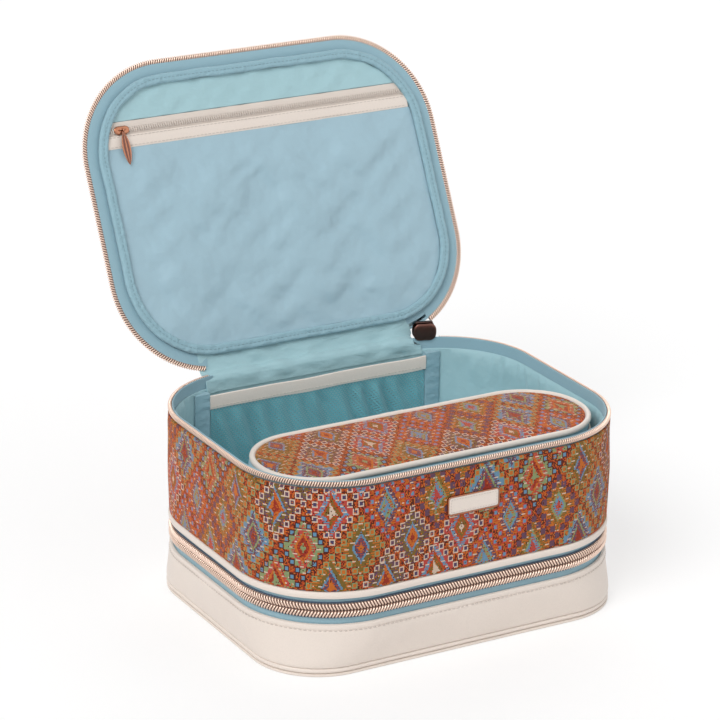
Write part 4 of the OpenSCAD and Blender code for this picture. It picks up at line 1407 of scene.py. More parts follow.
class TRAINCASE_OT_mesh_pocket(Maker):
    """Makes the net pocket on the back wall with its binding and side tapes"""

    bl_idname = "traincase.mesh_pocket"
    bl_label = "Net Pocket"

    def make(self):
        pitch = sizes().mesh_pitch / MM
        cols, rows = int(NET_WIDE / pitch), int((NET_TOP - NET_LOW) / (pitch * NET_ROW))
        dx, dz = NET_WIDE / cols, (NET_TOP - NET_LOW) / rows
        ring = np.array([(-1, -1), (0, -1), (1, -1), (1, 0), (1, 1), (0, 1), (-1, 1), (-1, 0)]) / 2.0
        t = np.radians([225, 270, 315, 0, 45, 90, 135, 180])
        hole = np.stack([np.cos(t), np.sin(t)], -1) * NET_HOLE
        template = np.concatenate([ring, hole])
        k = np.arange(8)
        quads = np.stack([k, (k + 1) % 8, 8 + (k + 1) % 8, 8 + k], -1)
        r, c = np.meshgrid(np.arange(rows), np.arange(cols), indexing="ij")
        shift = 0.5 * (r % 2)
        cx = ((c + 0.5 + shift - 0.25) * dx - NET_WIDE / 2).ravel()
        cz = (NET_LOW + (r + 0.5) * dz).ravel()
        px = np.clip(cx[:, None] + template[None, :, 0] * dx, -NET_WIDE / 2, NET_WIDE / 2)
        pz = cz[:, None] + template[None, :, 1] * dz
        waves = Ripple(61, 19, 166, 9.0)
        broad = Ripple(62, 60, 166, 1.2)
        hang = smooth((NET_TOP - pz) / 12) * smooth((83 - np.abs(px)) / 9)
        depth = 94.1 + (2.6 * waves(px + 0.35 * pz, pz) + broad(px, pz) + 0.3) * hang
        points = np.stack([px, depth, pz], -1).reshape(-1, 3)
        faces = (quads[None] + (np.arange(len(cx)) * 16)[:, None, None]).reshape(-1, 4)
        uv = np.stack([px, pz], -1).reshape(-1, 2)[faces]
        net = Shape().add(points, faces, uv)
        obj = piece("mesh_pocket_net", net, "teal_mesh", "upper_case", ["mesh_pocket"], weld=True)

        # Binding: a folded strip over the top edge of the net
        x = np.linspace(-83, 83, 90)
        sway = Ripple(63, 70, 166)
        section = np.array([(93.25, 110.6), (93.1, 112), (93.1, 118.6), (93.35, 119.8), (94.1, 120.2)])
        section = np.concatenate(
            [section, [(94.8, 119.8), (95.0, 118.6), (95.0, 112), (94.8, 110.6), (94.0, 110.3)]]
        )
        points = np.empty((len(x), len(section), 3))
        free = smooth((83 - np.abs(x)) / 8)
        points[..., 0] = x[:, None]
        points[..., 1] = section[None, :, 0] + (0.25 * sway(x, 0 * x) * free)[:, None]
        points[..., 2] = section[None, :, 1] + (0.5 * sway(x + 40, 0 * x) * free)[:, None]
        v = np.concatenate([[0], np.cumsum(np.full(len(section), 2.2))])
        band = Shape().grid(points, cut_grid(x, v), wrap_cols=True)
        band.cap(points[0][::-1])
        band.cap(points[-1])
        piece("pocket_binding_leather", band, "cream_leather", "upper_case", ["pocket_binding"])
        seam = Shape()
        for at in np.arange(-81, 81, 2.7):
            y = 93.0 + 0.25 * float(sway(at, 0)) * min(1, (83 - abs(at)) / 8)
            path = [
                (at + along, y + sunk, 112.4)
                for along, sunk in ((-0.9, 0.2), (-0.6, 0), (0.6, 0), (0.9, 0.2))
            ]
            seam.add(tube(path, [0.15, 0.26, 0.26, 0.15], 6).reshape(-1, 3), tube_faces(4, 6))
        piece(
            "pocket_binding_stitches", seam, "cream_thread", "upper_case", sharp=60,
        )

        plan = [(83.3, 93.7), (86.0, 93.45), (91.0, 93.45), (93.9, 93.75), (94.1, 94.3), (93.9, 95.1)]
        plan += [(91.0, 96.4), (88.0, 97.6), (85.0, 98.6), (83.4, 98.8), (83.2, 96.0)]
        plan = np.array(plan)
        heights = np.linspace(57.6, 121.6, 44)
        for side, name, seed in ((1, "right", 64), (-1, "left", 65)):
            sway, pucker = Ripple(seed, 30), Ripple(seed + 10, 9)
            rings = np.empty((len(heights), len(plan), 3))
            rings[..., 0] = side * (plan[None, :, 0] + 0.25 * sway(heights, 0 * heights)[:, None])
            face = (plan[:, 1] < 94.5)[None, :]
            ruffle = 0.22 * (1 + pucker(heights, 0 * heights)[:, None])
            rings[..., 1] = plan[None, :, 1] - ruffle * face
            rings[..., 2] = heights[:, None]
            v = np.arange(len(plan) + 1) * 2.2
            strip = Shape().grid(rings, cut_grid(heights, v), wrap_cols=True)
            strip.cap(rings[0][::-1])
            strip.cap(rings[-1])
            piece(
                f"pocket_tape_{name}_cloth", strip, "blue_binding", "upper_case", [f"pocket_tape_{name}"],
            )


class TRAINCASE_OT_badge(Maker):
    """Makes the bare badge: a metal frame round a leather plate with a stitched edge"""

    bl_idname = "traincase.badge"
    bl_label = "Badge"

    def make(self):
        wide, tall, middle, face = 38, 13, 102.5, -106.2

        def stand(p):
            return np.stack([p[:, 0], face - p[:, 2], middle + p[:, 1]], -1)

        line = Outline(wide, tall, 2.6)
        section = [
            (0, 0), (0, 1.3), (-0.1, 1.5), (-0.3, 1.6), (-0.6, 1.6), (-0.8, 1.5), (-0.85, 1.2),
            (-0.85, 0),
        ]
        shape = swept(Shape(), line, section, step=0.6)
        piece("badge_frame_metal", shape, "rose_metal", "upper_case", ["badge_frame"], move=stand)
        levels = [(0.9, 0.1), (0.9, 1.0), (1.05, 1.3), (1.4, 1.42)]
        plate = lens(line, levels, lambda p, t: np.full(len(p), 1.42 + 0.1 * (1 - t)))
        piece("badge_plate_leather", plate, "cream_leather", "upper_case", ["badge_plate"], move=stand)
        row = stitches(Outline(wide - 4.6, tall - 4.6, 1.2), 2.0, 0.0, 0.0, radius=0.24, sink=0.0)
        piece(
            "badge_plate_stitches", row, "cream_thread", "upper_case",
            move=lambda p: stand(p + (0, 0, 1.5)), sharp=60,
        )


class TRAINCASE_OT_lid_shell(Maker):
    """Makes the outside of the lid: padded tapestry panel and piping"""

    bl_idname = "traincase.lid_shell"
    bl_label = "Lid Shell"

    def make(self):
        case = case_line()
        soft, dents = Ripple(71, 80), Ripple(72, 24)

        def top(p, t):
            edge = smooth((1 - t) * 5)
            bumps = 0.35 * soft(p[:, 0], p[:, 1]) + 0.12 * dents(p[:, 0], p[:, 1])
            return 140.9 + 0.5 * edge + edge * bumps

        levels = [
            (13.9, 133.7), (13.6, 134.6), (13.5, 135.8), (13.9, 137.6), (15.0, 139.3), (16.8, 140.4),
            (19.0, 140.85),
        ]
        panel = lens(case, levels, top)
        obj = piece("lid_panel_tapestry", panel, "tapestry", "lid", ["lid_panel"], move=opened_lid)
        uneven = Ripple(73, 45, case.length)
        cord = swept(
            Shape(), case, round_profile(1.7, -11.7, 135.35, 16), lift=wobble(uneven, 0.12, 0.1, 9)
        )
        flange = [
            (-10.4, 133.7), (-10.1, 134.2), (-10.6, 134.9), (-12.6, 134.9), (-13.2, 134.2),
            (-13.0, 133.7),
        ]
        swept(cord, case, flange)
        piece("lid_piping_leather", cord, "cream_leather", "lid", ["lid_piping"], move=opened_lid)


class TRAINCASE_OT_lid_inside(Maker):
    """Makes the lid's zip half, its rolled binding and its lining"""

    bl_idname = "traincase.lid_inside"
    bl_label = "Lid Inside"

    def make(self):
        case = case_line()

        section = [(-1.7, 132.5), (-1.7, 133.2), (-2.1, 133.35), (-9.9, 133.35)]
        section += [(-10.5, 133.2), (-10.5, 132.6), (-9.9, 132.45), (-2.1, 132.45)]
        tape = swept(Shape(), case, section, back_span(case, 77.2, 95.8), 2.6)
        # Beside the rim's slider the tape folds up over the slider's inner plate
        over = [
            (-1.7, 132.5), (-1.7, 133.2), (-2.1, 133.35), (-2.9, 133.35), (-2.9, 142.4), (-5.9, 142.4),
        ]
        over += [(-5.9, 133.35), (-9.9, 133.35), (-10.5, 133.2), (-10.5, 132.6), (-9.9, 132.45)]
        over += [(-5.45, 132.45), (-5.45, 142.0), (-3.35, 142.0), (-3.35, 132.45), (-2.1, 132.45)]
        swept(tape, case, over, (case.back(96.0), case.back(79.1)), 2.0)
        end = [(-2.9, 133.0), (-2.9, 142.4), (-5.9, 142.4), (-5.9, 133.0)]
        swept(tape, case, end, (case.back(96.3), case.back(95.8)), 0.5)
        piece("lid_zip_tape_cloth", tape, "blue_zip_tape", "lid", ["lid_zip_tape"], move=opened_lid)
        shape = Shape()
        run = back_span(case, *RIM_COIL)
        path = [
            (-0.5, -2.3, 132.9), (-0.4, -1.8, 132.45), (-0.1, -1.0, 132.1), (0.4, 0.1, 132.1),
            (0.7, 0.7, 132.25), (0.9, 0.95, 132.8), (0.9, 0.6, 133.2),
        ]
        coil(shape, case, *run, sizes().rim_coil / MM, path, 0.46)
        # Section of the dark cord behind the loops, as painted shade between them
        core = [
            (-2.4, 132.5), (-2.4, 133.2), (-2.0, 133.4), (0.1, 133.4), (0.5, 133.1), (0.5, 132.6),
            (0.1, 132.4), (-2.0, 132.4),
        ]
        swept(shape, case, core, run, 3.0, finish=1)
        piece(
            "lid_zip_coil", shape, ["rose_teeth", "painted_shade_cord"], "lid", ["lid_zip_teeth"], move=opened_lid,
            sharp=60,
        )

        gather, roll = Ripple(81, 8, case.length, 2.0), Ripple(82, 42, case.length)
        t = np.linspace(0, 2 * math.pi, 28, endpoint=False)
        c, s = np.cos(t), np.sin(t)
        section = np.stack(
            [
                3.3 * np.sign(c) * np.abs(c) ** 0.7 - BINDING_IN,
                130.35 + 1.85 * np.sign(s) * np.abs(s) ** 0.75,
            ],
            -1,
        )

        def lift(s, o, z):
            below = smooth((130.8 - z) / 1.5)
            groove = smooth((np.abs(o + BINDING_IN) - 0.2) / 1.4)
            puff = 0.3 * gather(s, o) + 0.2 * roll(s + 20, o)
            return 0.3 * roll(s, z) + 0 * o, (0.35 * (1 - groove) - puff * groove) * below

        binding = swept(Shape(), case, section, step=1.6, lift=lift)
        piece("lid_binding_cloth", binding, "blue_binding", "lid", ["lid_binding"], move=opened_lid)
        width, depth = (size / MM - 2 * BINDING_IN for size in (sizes().width, sizes().depth))
        inner = Outline(width, depth, sizes().corner / MM - BINDING_IN)
        row = stitches(inner, 3.0, 0.0, 0.0, radius=0.3, sink=0.0)
        piece(
            "lid_binding_stitches", row, "blue_thread", "lid",
            move=lambda p: opened_lid(p + (0, 0, 128.78)), sharp=60,
        )

        lining = sheet_shape(patch(case, 10.9, -300, 300, 130, 90), 132.66, 0.75)
        # The strip in sight beyond the pocket hangs a little lower, with soft folds
        band = patch(case, 16.0, -300, AXIS_Y - 175.4, 130, 26)
        fold = Ripple(84, 26, 1000, 0.5)
        drop = 132.2 - 0.5 * (1 + fold(band[..., 0], band[..., 1]))
        sheet_shape(band, drop, 0.4, lining)
        piece("lid_lining_cloth", lining, "blue_lining", "lid", ["lid_lining"], move=opened_lid)


class TRAINCASE_OT_lid_pocket(Maker):
    """Makes the lid's pocket: satin panel, leather trim and coil zip"""

    bl_idname = "traincase.lid_pocket"
    bl_label = "Lid Pocket"

    def make(self):
        case = case_line()
        reach = 115.0
        deep = sizes().crumple / MM
        broad, mid, fine = Ripple(91, 75), Ripple(92, 30), Ripple(93, 13)
        xy = patch(case, 16.2, AXIS_Y - POCKET_EDGE, 300, 170, 130)
        x, y = xy[..., 0], xy[..., 1]
        v = AXIS_Y - y
        rim = np.minimum.reduce([POCKET_EDGE - v, reach - np.abs(x) + 2, v - 12])
        edge = smooth(rim / 26)
        crease = np.zeros_like(x)
        rng = np.random.default_rng(94)
        for _ in range(16):
            cx, cv, angle = rng.uniform(-80, 80), rng.uniform(35, 140), rng.uniform(-0.9, 0.9)
            along = (x - cx) * math.cos(angle) + (v - cv) * math.sin(angle)
            across = -(x - cx) * math.sin(angle) + (v - cv) * math.cos(angle)
            length, width = rng.uniform(22, 46), rng.uniform(3.5, 8)
            ridge = np.exp(-((along / length) ** 2) - (across / width) ** 2)
            crease += rng.uniform(0.35, 0.9) * ridge
        full = broad(x, y) * 1.2 + mid(x, y) * 0.7 + fine(x, y) * 0.12 + crease * 1.3
        most = 1.45
        full = most * np.tanh(full / most)
        z = 131.4 - deep * edge * (full + 1.2)
        panel = sheet_shape(xy, z, 0.7)
        obj = piece(
            "lid_pocket_satin", panel, "pocket_cloth", "lid", ["lid_pocket_panel"], move=opened_lid,
        )

        def strip(v0, v1, z0, z1, rows):
            xs = np.linspace(-reach, reach, 120)
            ys = np.linspace(AXIS_Y - v1, AXIS_Y - v0, rows)
            grid = np.stack(np.meshgrid(xs, ys, indexing="ij"), -1)
            crown = np.sin(np.linspace(0, math.pi, rows)) ** 0.5
            return grid, z0 + (1 - crown[None, :]) * 0.5, z1 - z0

        sway = Ripple(95, 70)
        grid, level, thick = strip(157.0, 165.8, 130.75, 131.7, 12)
        trim = sheet_shape(grid, level + 0.25 * sway(grid[..., 0], grid[..., 1]), thick)
        piece(
            "lid_pocket_trim_leather", trim, "cream_leather", "lid", ["lid_pocket_trim"], move=opened_lid,
        )
        rows = Shape()
        path = [(-1.0, 0, 0), (-0.7, 0.2, 0), (0.7, 0.2, 0), (1.0, 0, 0)]
        ring = tube(path, [0.15, 0.26, 0.26, 0.15], 6).reshape(-1, 3)
        ring = np.stack([ring[:, 0], ring[:, 2], -ring[:, 1]], -1)
        xs = np.arange(-reach + 3, reach - 3, 2.9)
        for v in (158.3, 164.6):
            spots = np.stack([xs, np.full_like(xs, AXIS_Y - v), np.full_like(xs, 130.98)], -1)
            rows.add(*copies(ring, tube_faces(4, 6), spots))
        piece(
            "lid_pocket_stitches", rows, "cream_thread", "lid", move=opened_lid,
            sharp=60,
        )

        shape = sheet_shape(*strip(166.0, 175.0, 131.5, 132.2, 10))
        loops = np.arange(-reach + 4, reach - 4, 1.7)
        path = [(0, -1.7, 0.2), (0.05, -1.3, 0.75), (0.3, 0.0, 0.95), (0.55, 1.3, 0.75), (0.6, 1.7, 0.2)]
        ring = tube(path, [0.42, 0.5, 0.52, 0.5, 0.42], 7).reshape(-1, 3)
        spots = np.stack(
            [loops, np.full_like(loops, AXIS_Y - POCKET_ZIP), np.full_like(loops, 131.6)], -1,
        )
        points, faces = copies(ring * (1, 1, -1), tube_faces(5, 7), spots)
        shape.add(points, faces, finish=1)
        piece(
            "lid_pocket_zip_coil", shape, ["cream_zip_tape", "cream_coil"], "lid", ["lid_pocket_zip"],
            move=opened_lid, sharp=60,
        )


class TRAINCASE_OT_handle(Maker):
    """Makes the leather handle with its tabs and rivets"""

    bl_idname = "traincase.handle"
    bl_label = "Handle"

    def make(self):
        foot_z, rise, half_len, thick, wide = 141.25, 28.0, 65.0, 5.0, 20.0
        radius = (half_len**2 + rise**2) / (2 * rise)
        centre_z = foot_z + rise - radius
        reach = math.asin(half_len / radius)
        arc = np.linspace(-reach, reach, 44)
        mid = radius - thick / 2
        path = [(x, foot_z + 1, 2.0) for x in (-90, -80, -70)]
        for t in arc[1:-1]:
            path.append((mid * math.sin(t), max(centre_z + mid * math.cos(t), foot_z + 1.2), thick))
        path += [(x, foot_z + 1, 2.0) for x in (70, 80, 90)]
        path = resample(path, 90)
        heading = np.gradient(path[:, :2], axis=0)
        heading /= np.linalg.norm(heading, axis=1)[:, None]
        side = np.stack([-heading[:, 1], heading[:, 0]], -1)
        t = np.linspace(0, 2 * math.pi, 28, endpoint=False)
        c, s = np.cos(t), np.sin(t)
        across = np.sign(c) * np.abs(c) ** 0.45 * wide / 2
        up = np.sign(s) * np.abs(s) ** 0.6 / 2
        points = np.empty((len(path), len(t), 3))
        points[..., 0] = path[:, None, 0] + side[:, None, 0] * up[None] * path[:, None, 2]
        points[..., 1] = across[None]
        points[..., 2] = path[:, None, 1] + side[:, None, 1] * up[None] * path[:, None, 2]
        v = np.concatenate([[0], np.cumsum(np.full(len(t), 1.8))])
        strap = Shape().grid(points, cut_grid(np.arange(len(path)) * 2.3, v), wrap_cols=True)
        strap.cap(points[0][::-1])
        strap.cap(points[-1])
        piece("handle_strap", strap, "cream_leather", "lid", ["handle"], move=opened_lid)

        rows = Shape()
        for y in (-7.6, 7.6):
            for i in range(12, 78):
                x, z = path[i, :2] + side[i] * path[i, 2] * 0.5
                spot, along = np.array([x, y, z]), np.array([heading[i, 0], 0, heading[i, 1]])
                line = [spot + along * k for k in (-0.8, -0.5, 0.5, 0.8)]
                rows.add(tube(line, [0.15, 0.3, 0.3, 0.15], 6).reshape(-1, 3), tube_faces(4, 6))
        piece(
            "handle_stitches", rows, "cream_thread", "lid", move=opened_lid,
            sharp=60,
        )

        tabs, caps = Shape(), Shape()
        tab_z, rivet_x = 143.45, 79.0
        for sx in (-1, 1):
            levels = [(0.3, 0), (0, 0.4), (0, 1.4), (0.5, 1.95), (1.4, 2.0)]
            levels = [(inset, tab_z + rise) for inset, rise in levels]
            lens(Outline(20, 24, 4, (sx * rivet_x, 0)), levels, level_top(tab_z + 2.0), shape=tabs)
            levels = [
                (inset, tab_z + rise) for inset, rise in [(0.3, 1.9), (0, 2.2), (0.05, 2.6), (0.5, 2.95)]
            ]
            for sy in (-1, 1):
                head = Outline(6.4, 6.4, 3.199, (sx * rivet_x, sy * 5.0))
                lens(
                    head, levels, lambda p, t: np.full(len(p), tab_z + 2.95 + 0.25 * (1 - t)), shape=caps,
                )
        piece("handle_tabs_leather", tabs, "cream_leather", "lid", ["handle_tabs"], move=opened_lid)
        piece("handle_rivet_caps", caps, "rose_metal", "lid", ["handle_rivets"], move=opened_lid)


def pouch_zip_row(name, side, body):
    """One row of the pouch's zip."""
    line = pouch_line()
    zip_row(
        f"pouch_coil_{name}", line, back_span(line, POUCH_ZIP_END, POUCH_ZIP_END),
        sizes().pouch_coil / MM, POUCH_SEAM, side, body, [f"pouch_teeth_{name}"],
        half=3.4, radius=0.56, core=3.1, shade_cord_out=(-0.6, -1.5),
    )


class TRAINCASE_OT_pouch_body(Maker):
    """Makes the lift-out pouch below its zip"""

    bl_idname = "traincase.pouch_body"
    bl_label = "Pouch Body"

    def make(self):
        line = pouch_line()
        levels = [(0.6, 57.55), (0.1, 57.9), (0.1, 58.6), (0.8, 59.05)]
        floor = lens(line, levels, level_top(59.05), crown=1)
        lined = ["tapestry", "blue_lining"]
        piece("pouch_floor_tapestry", floor, lined, "pouch", ["pouch_floor"])
        cord = swept(Shape(), line, round_profile(1.6, -1.6, 60.9, 14))
        piece("pouch_foot_cord", cord, "cream_leather", "pouch", ["pouch_foot_piping"])
        folds, small = Ripple(101, 40, line.length, 1.5), Ripple(102, 14, line.length, 2.0)

        def lift(s, o, z):
            weight = smooth((z - 62) / 8) * smooth((109.5 - z) / 6)
            return (0.5 * folds(s, z) + 0.15 * small(s, z) - 0.3) * weight, 0 * z

        wall = swept(Shape(), line, wall_profile(0.0, -1.6, 62.7, 109.6, 0.5, 18), lift=lift)
        piece("pouch_wall_cloth", wall, "blue_lining", "pouch", ["pouch_wall"])
        tape = swept(Shape(), line, wall_profile(-1.8, -2.7, 105.1, 113.85, 0.3, 5))
        piece("pouch_tape_lower_cloth", tape, "blue_zip_tape", "pouch", ["pouch_tape_lower"])
        pouch_zip_row("lower", -1, "pouch")


class TRAINCASE_OT_pouch_lid(Maker):
    """Makes the pouch's lid: piping and padded tapestry top"""

    bl_idname = "traincase.pouch_lid"
    bl_label = "Pouch Lid"

    def make(self):
        line = pouch_line()
        left_end = line.length * 0.75

        def swell(s, o, z):
            near = np.exp(-(((np.mod(s, line.length) - left_end) / 34) ** 2))
            return 2.9 * near * smooth((z - 116.5) / 3) * smooth((124 - z) / 2), 0 * z

        tape = swept(Shape(), line, wall_profile(-1.4, -2.4, 115.15, 123.1, 0.3, 9), lift=swell)
        piece("pouch_tape_upper_cloth", tape, "blue_zip_tape", "pouch_lid", ["pouch_tape_upper"])
        pouch_zip_row("upper", 1, "pouch_lid")
        uneven = Ripple(111, 60, line.length)
        cord = swept(
            Shape(), line, round_profile(2.0, -1.7, 124.9, 18), lift=wobble(uneven, 0.12, 0.15, 11)
        )
        # The cord's ends lap over each other on the back
        join = line.knots[4] + line.a * 0.9
        swept(cord, line, round_profile(2.1, -1.8, 125.1, 14), (join, join + 16), 1.5)
        piece("pouch_piping_leather", cord, "cream_leather", "pouch_lid", ["pouch_piping"])
        soft, dents = Ripple(112, 55), Ripple(113, 20)

        def top(p, t):
            edge = smooth((1 - t) * 6)
            bumps = 0.35 * soft(p[:, 0], p[:, 1]) + 0.1 * dents(p[:, 0], p[:, 1])
            return 126.2 + 0.9 * edge + edge * bumps

        levels = [(3.7, 123.4), (3.4, 124.0), (3.4, 124.8), (3.9, 125.6), (4.8, 126.05), (6.0, 126.2)]
        panel = lens(line, levels, top, uv_shift=(14, 6), foot=1)
        lined = ["tapestry", "blue_lining"]
        obj = piece("pouch_top_tapestry", panel, lined, "pouch_lid", ["pouch_lid_panel"])


# ---- Sliders and pulls ----------------------------------------------------------------------------

PULL_LENGTH, PULL_WIDTH = 24.0, 6.0
PLATE = 0.8  # thickness of a slider's plate
PIN_OFF = 1.35  # from the plate's face to the middle of the pin that carries the pull


def placed(matrix, then=None):
    """Mover that takes points through a matrix in millimetres."""
    m = np.array(matrix)

    def move(points):
        p = np.asarray(points, float) @ m[:3, :3].T + m[:3, 3]
        return then(p) if then else p

    return move


def on_right_wall():
    """Place of the base's slider."""
    spot = Matrix.Translation((133, 28, BASE_SEAM))
    return placed(spot @ Matrix.Rotation(math.radians(90), 4, "Z"))


def on_back_rim():
    """Place of the lid's slider, on the round back corner."""
    case, x = case_line(), 86.5
    turn = math.asin((x - case.a) / case.radius)
    y = case.b + case.radius - case.radius * (1 - math.cos(turn))
    spot = Matrix.Translation((x, y, RIM_SEAM + 3.4))
    return placed(spot @ Matrix.Rotation(math.pi - turn, 4, "Z"))


def on_lid_pocket():
    """Place of the pocket's slider on the open lid."""
    spot = Matrix.Translation((-103, AXIS_Y - POCKET_ZIP, 131.45))
    return placed(spot @ Matrix.Rotation(math.radians(90), 4, "X"), opened_lid)


def on_pouch_front():
    """Place of the pouch's slider."""
    return placed(Matrix.Translation((60.5, -84.5, POUCH_SEAM)))


def slider_shape(length, half_w, face, reach, back=None):
    """Domed plate, side rails, a bail that carries the pull, and a second plate behind an open zip."""
    shape = Shape()
    half_h = half_w + 1.2
    n = 48
    t = np.linspace(0, 2 * math.pi, n, endpoint=False)
    c, s = np.cos(t), np.sin(t)
    r = (np.abs(c / (length / 2)) ** 2.8 + np.abs(s / half_h) ** 2.8) ** (-1 / 2.8)
    waist = 1 - 0.1 * np.exp(-((c * r / (length * 0.22)) ** 2)) * (np.abs(s) > 0.3)
    rim = np.stack([c * r, s * r * waist], -1)
    dome = ((1.0, 0.0), (1.0, 0.5), (0.95, 0.9), (0.8, 1.12), (0.45, 1.3), (0.03, 1.32))
    plates = [(face, -1)] if back is None else [(face, -1), (back, 1)]
    for y, side in plates:
        rings = np.array(
            [
                np.stack([rim[:, 0] * k, np.full(n, y + side * PLATE * d), rim[:, 1] * k], -1)
                for k, d in dome
            ]
        )
        uv = np.concatenate([rings[..., (0, 2)], rings[:, :1, (0, 2)]], 1)
        shape.grid(rings, uv, False, True)
        shape.cap(rings[0])
        shape.cap(rings[-1][::-1])
    for side in (-1, 1):
        z = side * (half_w + 0.75)
        low = (-length / 2 + 2, face - 0.2, z - 0.45)
        high = (length / 2 - 2, face + reach, z + 0.45)
        slab(shape, low, high, 0.2)
    pin_y = face - PLATE - PIN_OFF
    bail = [(-2.2, face - 0.4, 0), (-2.2, pin_y + 0.5, 0), (-1.9, pin_y, 0)]
    bail += [(-x, y, z) for x, y, z in bail[::-1]]
    ring = tube(resample(bail, 24), 0.5, 10)
    shape.add(ring.reshape(-1, 3), tube_faces(24, 10))
    return shape


def pull_shape(face):
    """Leaf-shaped pull with a raised rib, hung from a ring on the pin."""
    shape = Shape()
    y0 = face - PLATE - PIN_OFF
    t = np.linspace(0, 2 * math.pi, 24, endpoint=False)
    loop = np.stack([0 * t, y0 + 1.0 * np.sin(t), -0.4 + 1.05 * np.cos(t)], -1)
    ring = tube(np.concatenate([loop, loop[:1]]), 0.42, 8)[:-1]
    shape.add(ring.reshape(-1, 3), tube_faces(25, 8) % (24 * 8))
    n = 34
    share = np.linspace(0, 1, n)
    down = -1.2 - (PULL_LENGTH - 1.2) * share
    half = PULL_WIDTH / 2 * np.sin(math.pi * np.clip(share, 0.02, 0.985)) ** 0.72
    half = np.maximum(half * np.where(share < 0.13, 0.55, 1.0), 0.35)
    half[share < 0.13] = np.interp(share[share < 0.13], [0, 0.05, 0.09, 0.13], [0.9, 1.25, 0.95, 1.35])
    across = np.linspace(-1, 1, 13)
    rib = 0.5 * np.exp(-((across / 0.16) ** 2)) + 0.5 * (1 - across**2) ** 0.5
    ribs = np.sin((share[:, None] * 24 - np.abs(across)[None] * 2.2) * 2.2)
    veins = 0.12 * ribs * (share[:, None] > 0.14)
    front = np.empty((n, 13, 3))
    front[..., 0] = half[:, None] * across[None]
    front[..., 1] = y0 - (0.32 * rib[None] + veins * (1 - across[None] ** 2)) - 0.12
    front[..., 2] = down[:, None]
    back = front.copy()
    back[..., 1] = y0 + 0.42 * (1 - across[None] ** 2) ** 0.5 + 0.05
    loop = np.concatenate([front, back[:, ::-1]], 1)
    v = np.arange(loop.shape[1]) * 0.5
    uv = cut_grid(share * PULL_LENGTH, v)
    # The hollow between edge and rib takes the dark bronze, as painted shade
    shaded_hollows = ((2, 5), (7, 10))
    edges = [0, 2, 5, 7, 10, loop.shape[1] - 1]
    for first, last in zip(edges[:-1], edges[1:]):
        dark = 1 if (first, last) in shaded_hollows else 0
        shape.grid(loop[:, first : last + 1], uv[:, first : last + 1], finish=dark)
    shape.grid(loop[:, [-1, 0]], uv[:, :2])
    shape.cap(loop[0][::-1])
    shape.cap(loop[-1])
    return shape


class TRAINCASE_OT_sliders(Maker):
    """Makes the zip sliders and their leaf-shaped pulls"""

    bl_idname = "traincase.sliders"
    bl_label = "Sliders and Pulls"

    def make(self):
        wall_face, pocket_face = -0.8, -1.0
        rows = [
            ("base", on_right_wall(), 16, 4.7, wall_face, 3.0, "rose_metal", "base_slider", "base_pull"),
            ("rim", on_back_rim(), 16, 5.3, wall_face, 3.0, "bronze_metal", "upper_case", "rim_pull"),
            (
                "pocket", on_lid_pocket(), 11, 1.7, pocket_face, 0.8, "rose_metal", "pocket_slider",
                "pocket_pull",
            ),
            (
                "pouch", on_pouch_front(), 11, 3.4, wall_face, 2.2, "rose_metal", "pouch_slider",
                "pouch_pull",
            ),
        ]
        for name, move, length, half_w, face, reach, metal_name, body, pull_body in rows:
            shape = slider_shape(length, half_w, face, reach, 4.1 if name == "rim" else None)
            if name == "rim":
                slab(shape, (-3.5, -1.0, -5.4), (3.5, 4.4, -4.3), 0.4)
            piece(
                f"{name}_slider_metal", shape, metal_name, body, [f"{name}_slider"], move=move, sharp=45,
            )
            # Each pull's hollows take the dark bronze as painted shade
            piece(
                f"{name}_pull_leaf", pull_shape(face), [metal_name, "bronze_metal"], pull_body,
                [f"{name}_pull"], move=move, sharp=50, weld=True,
            )


# ---- Stage ----------------------------------------------------------------------------------------


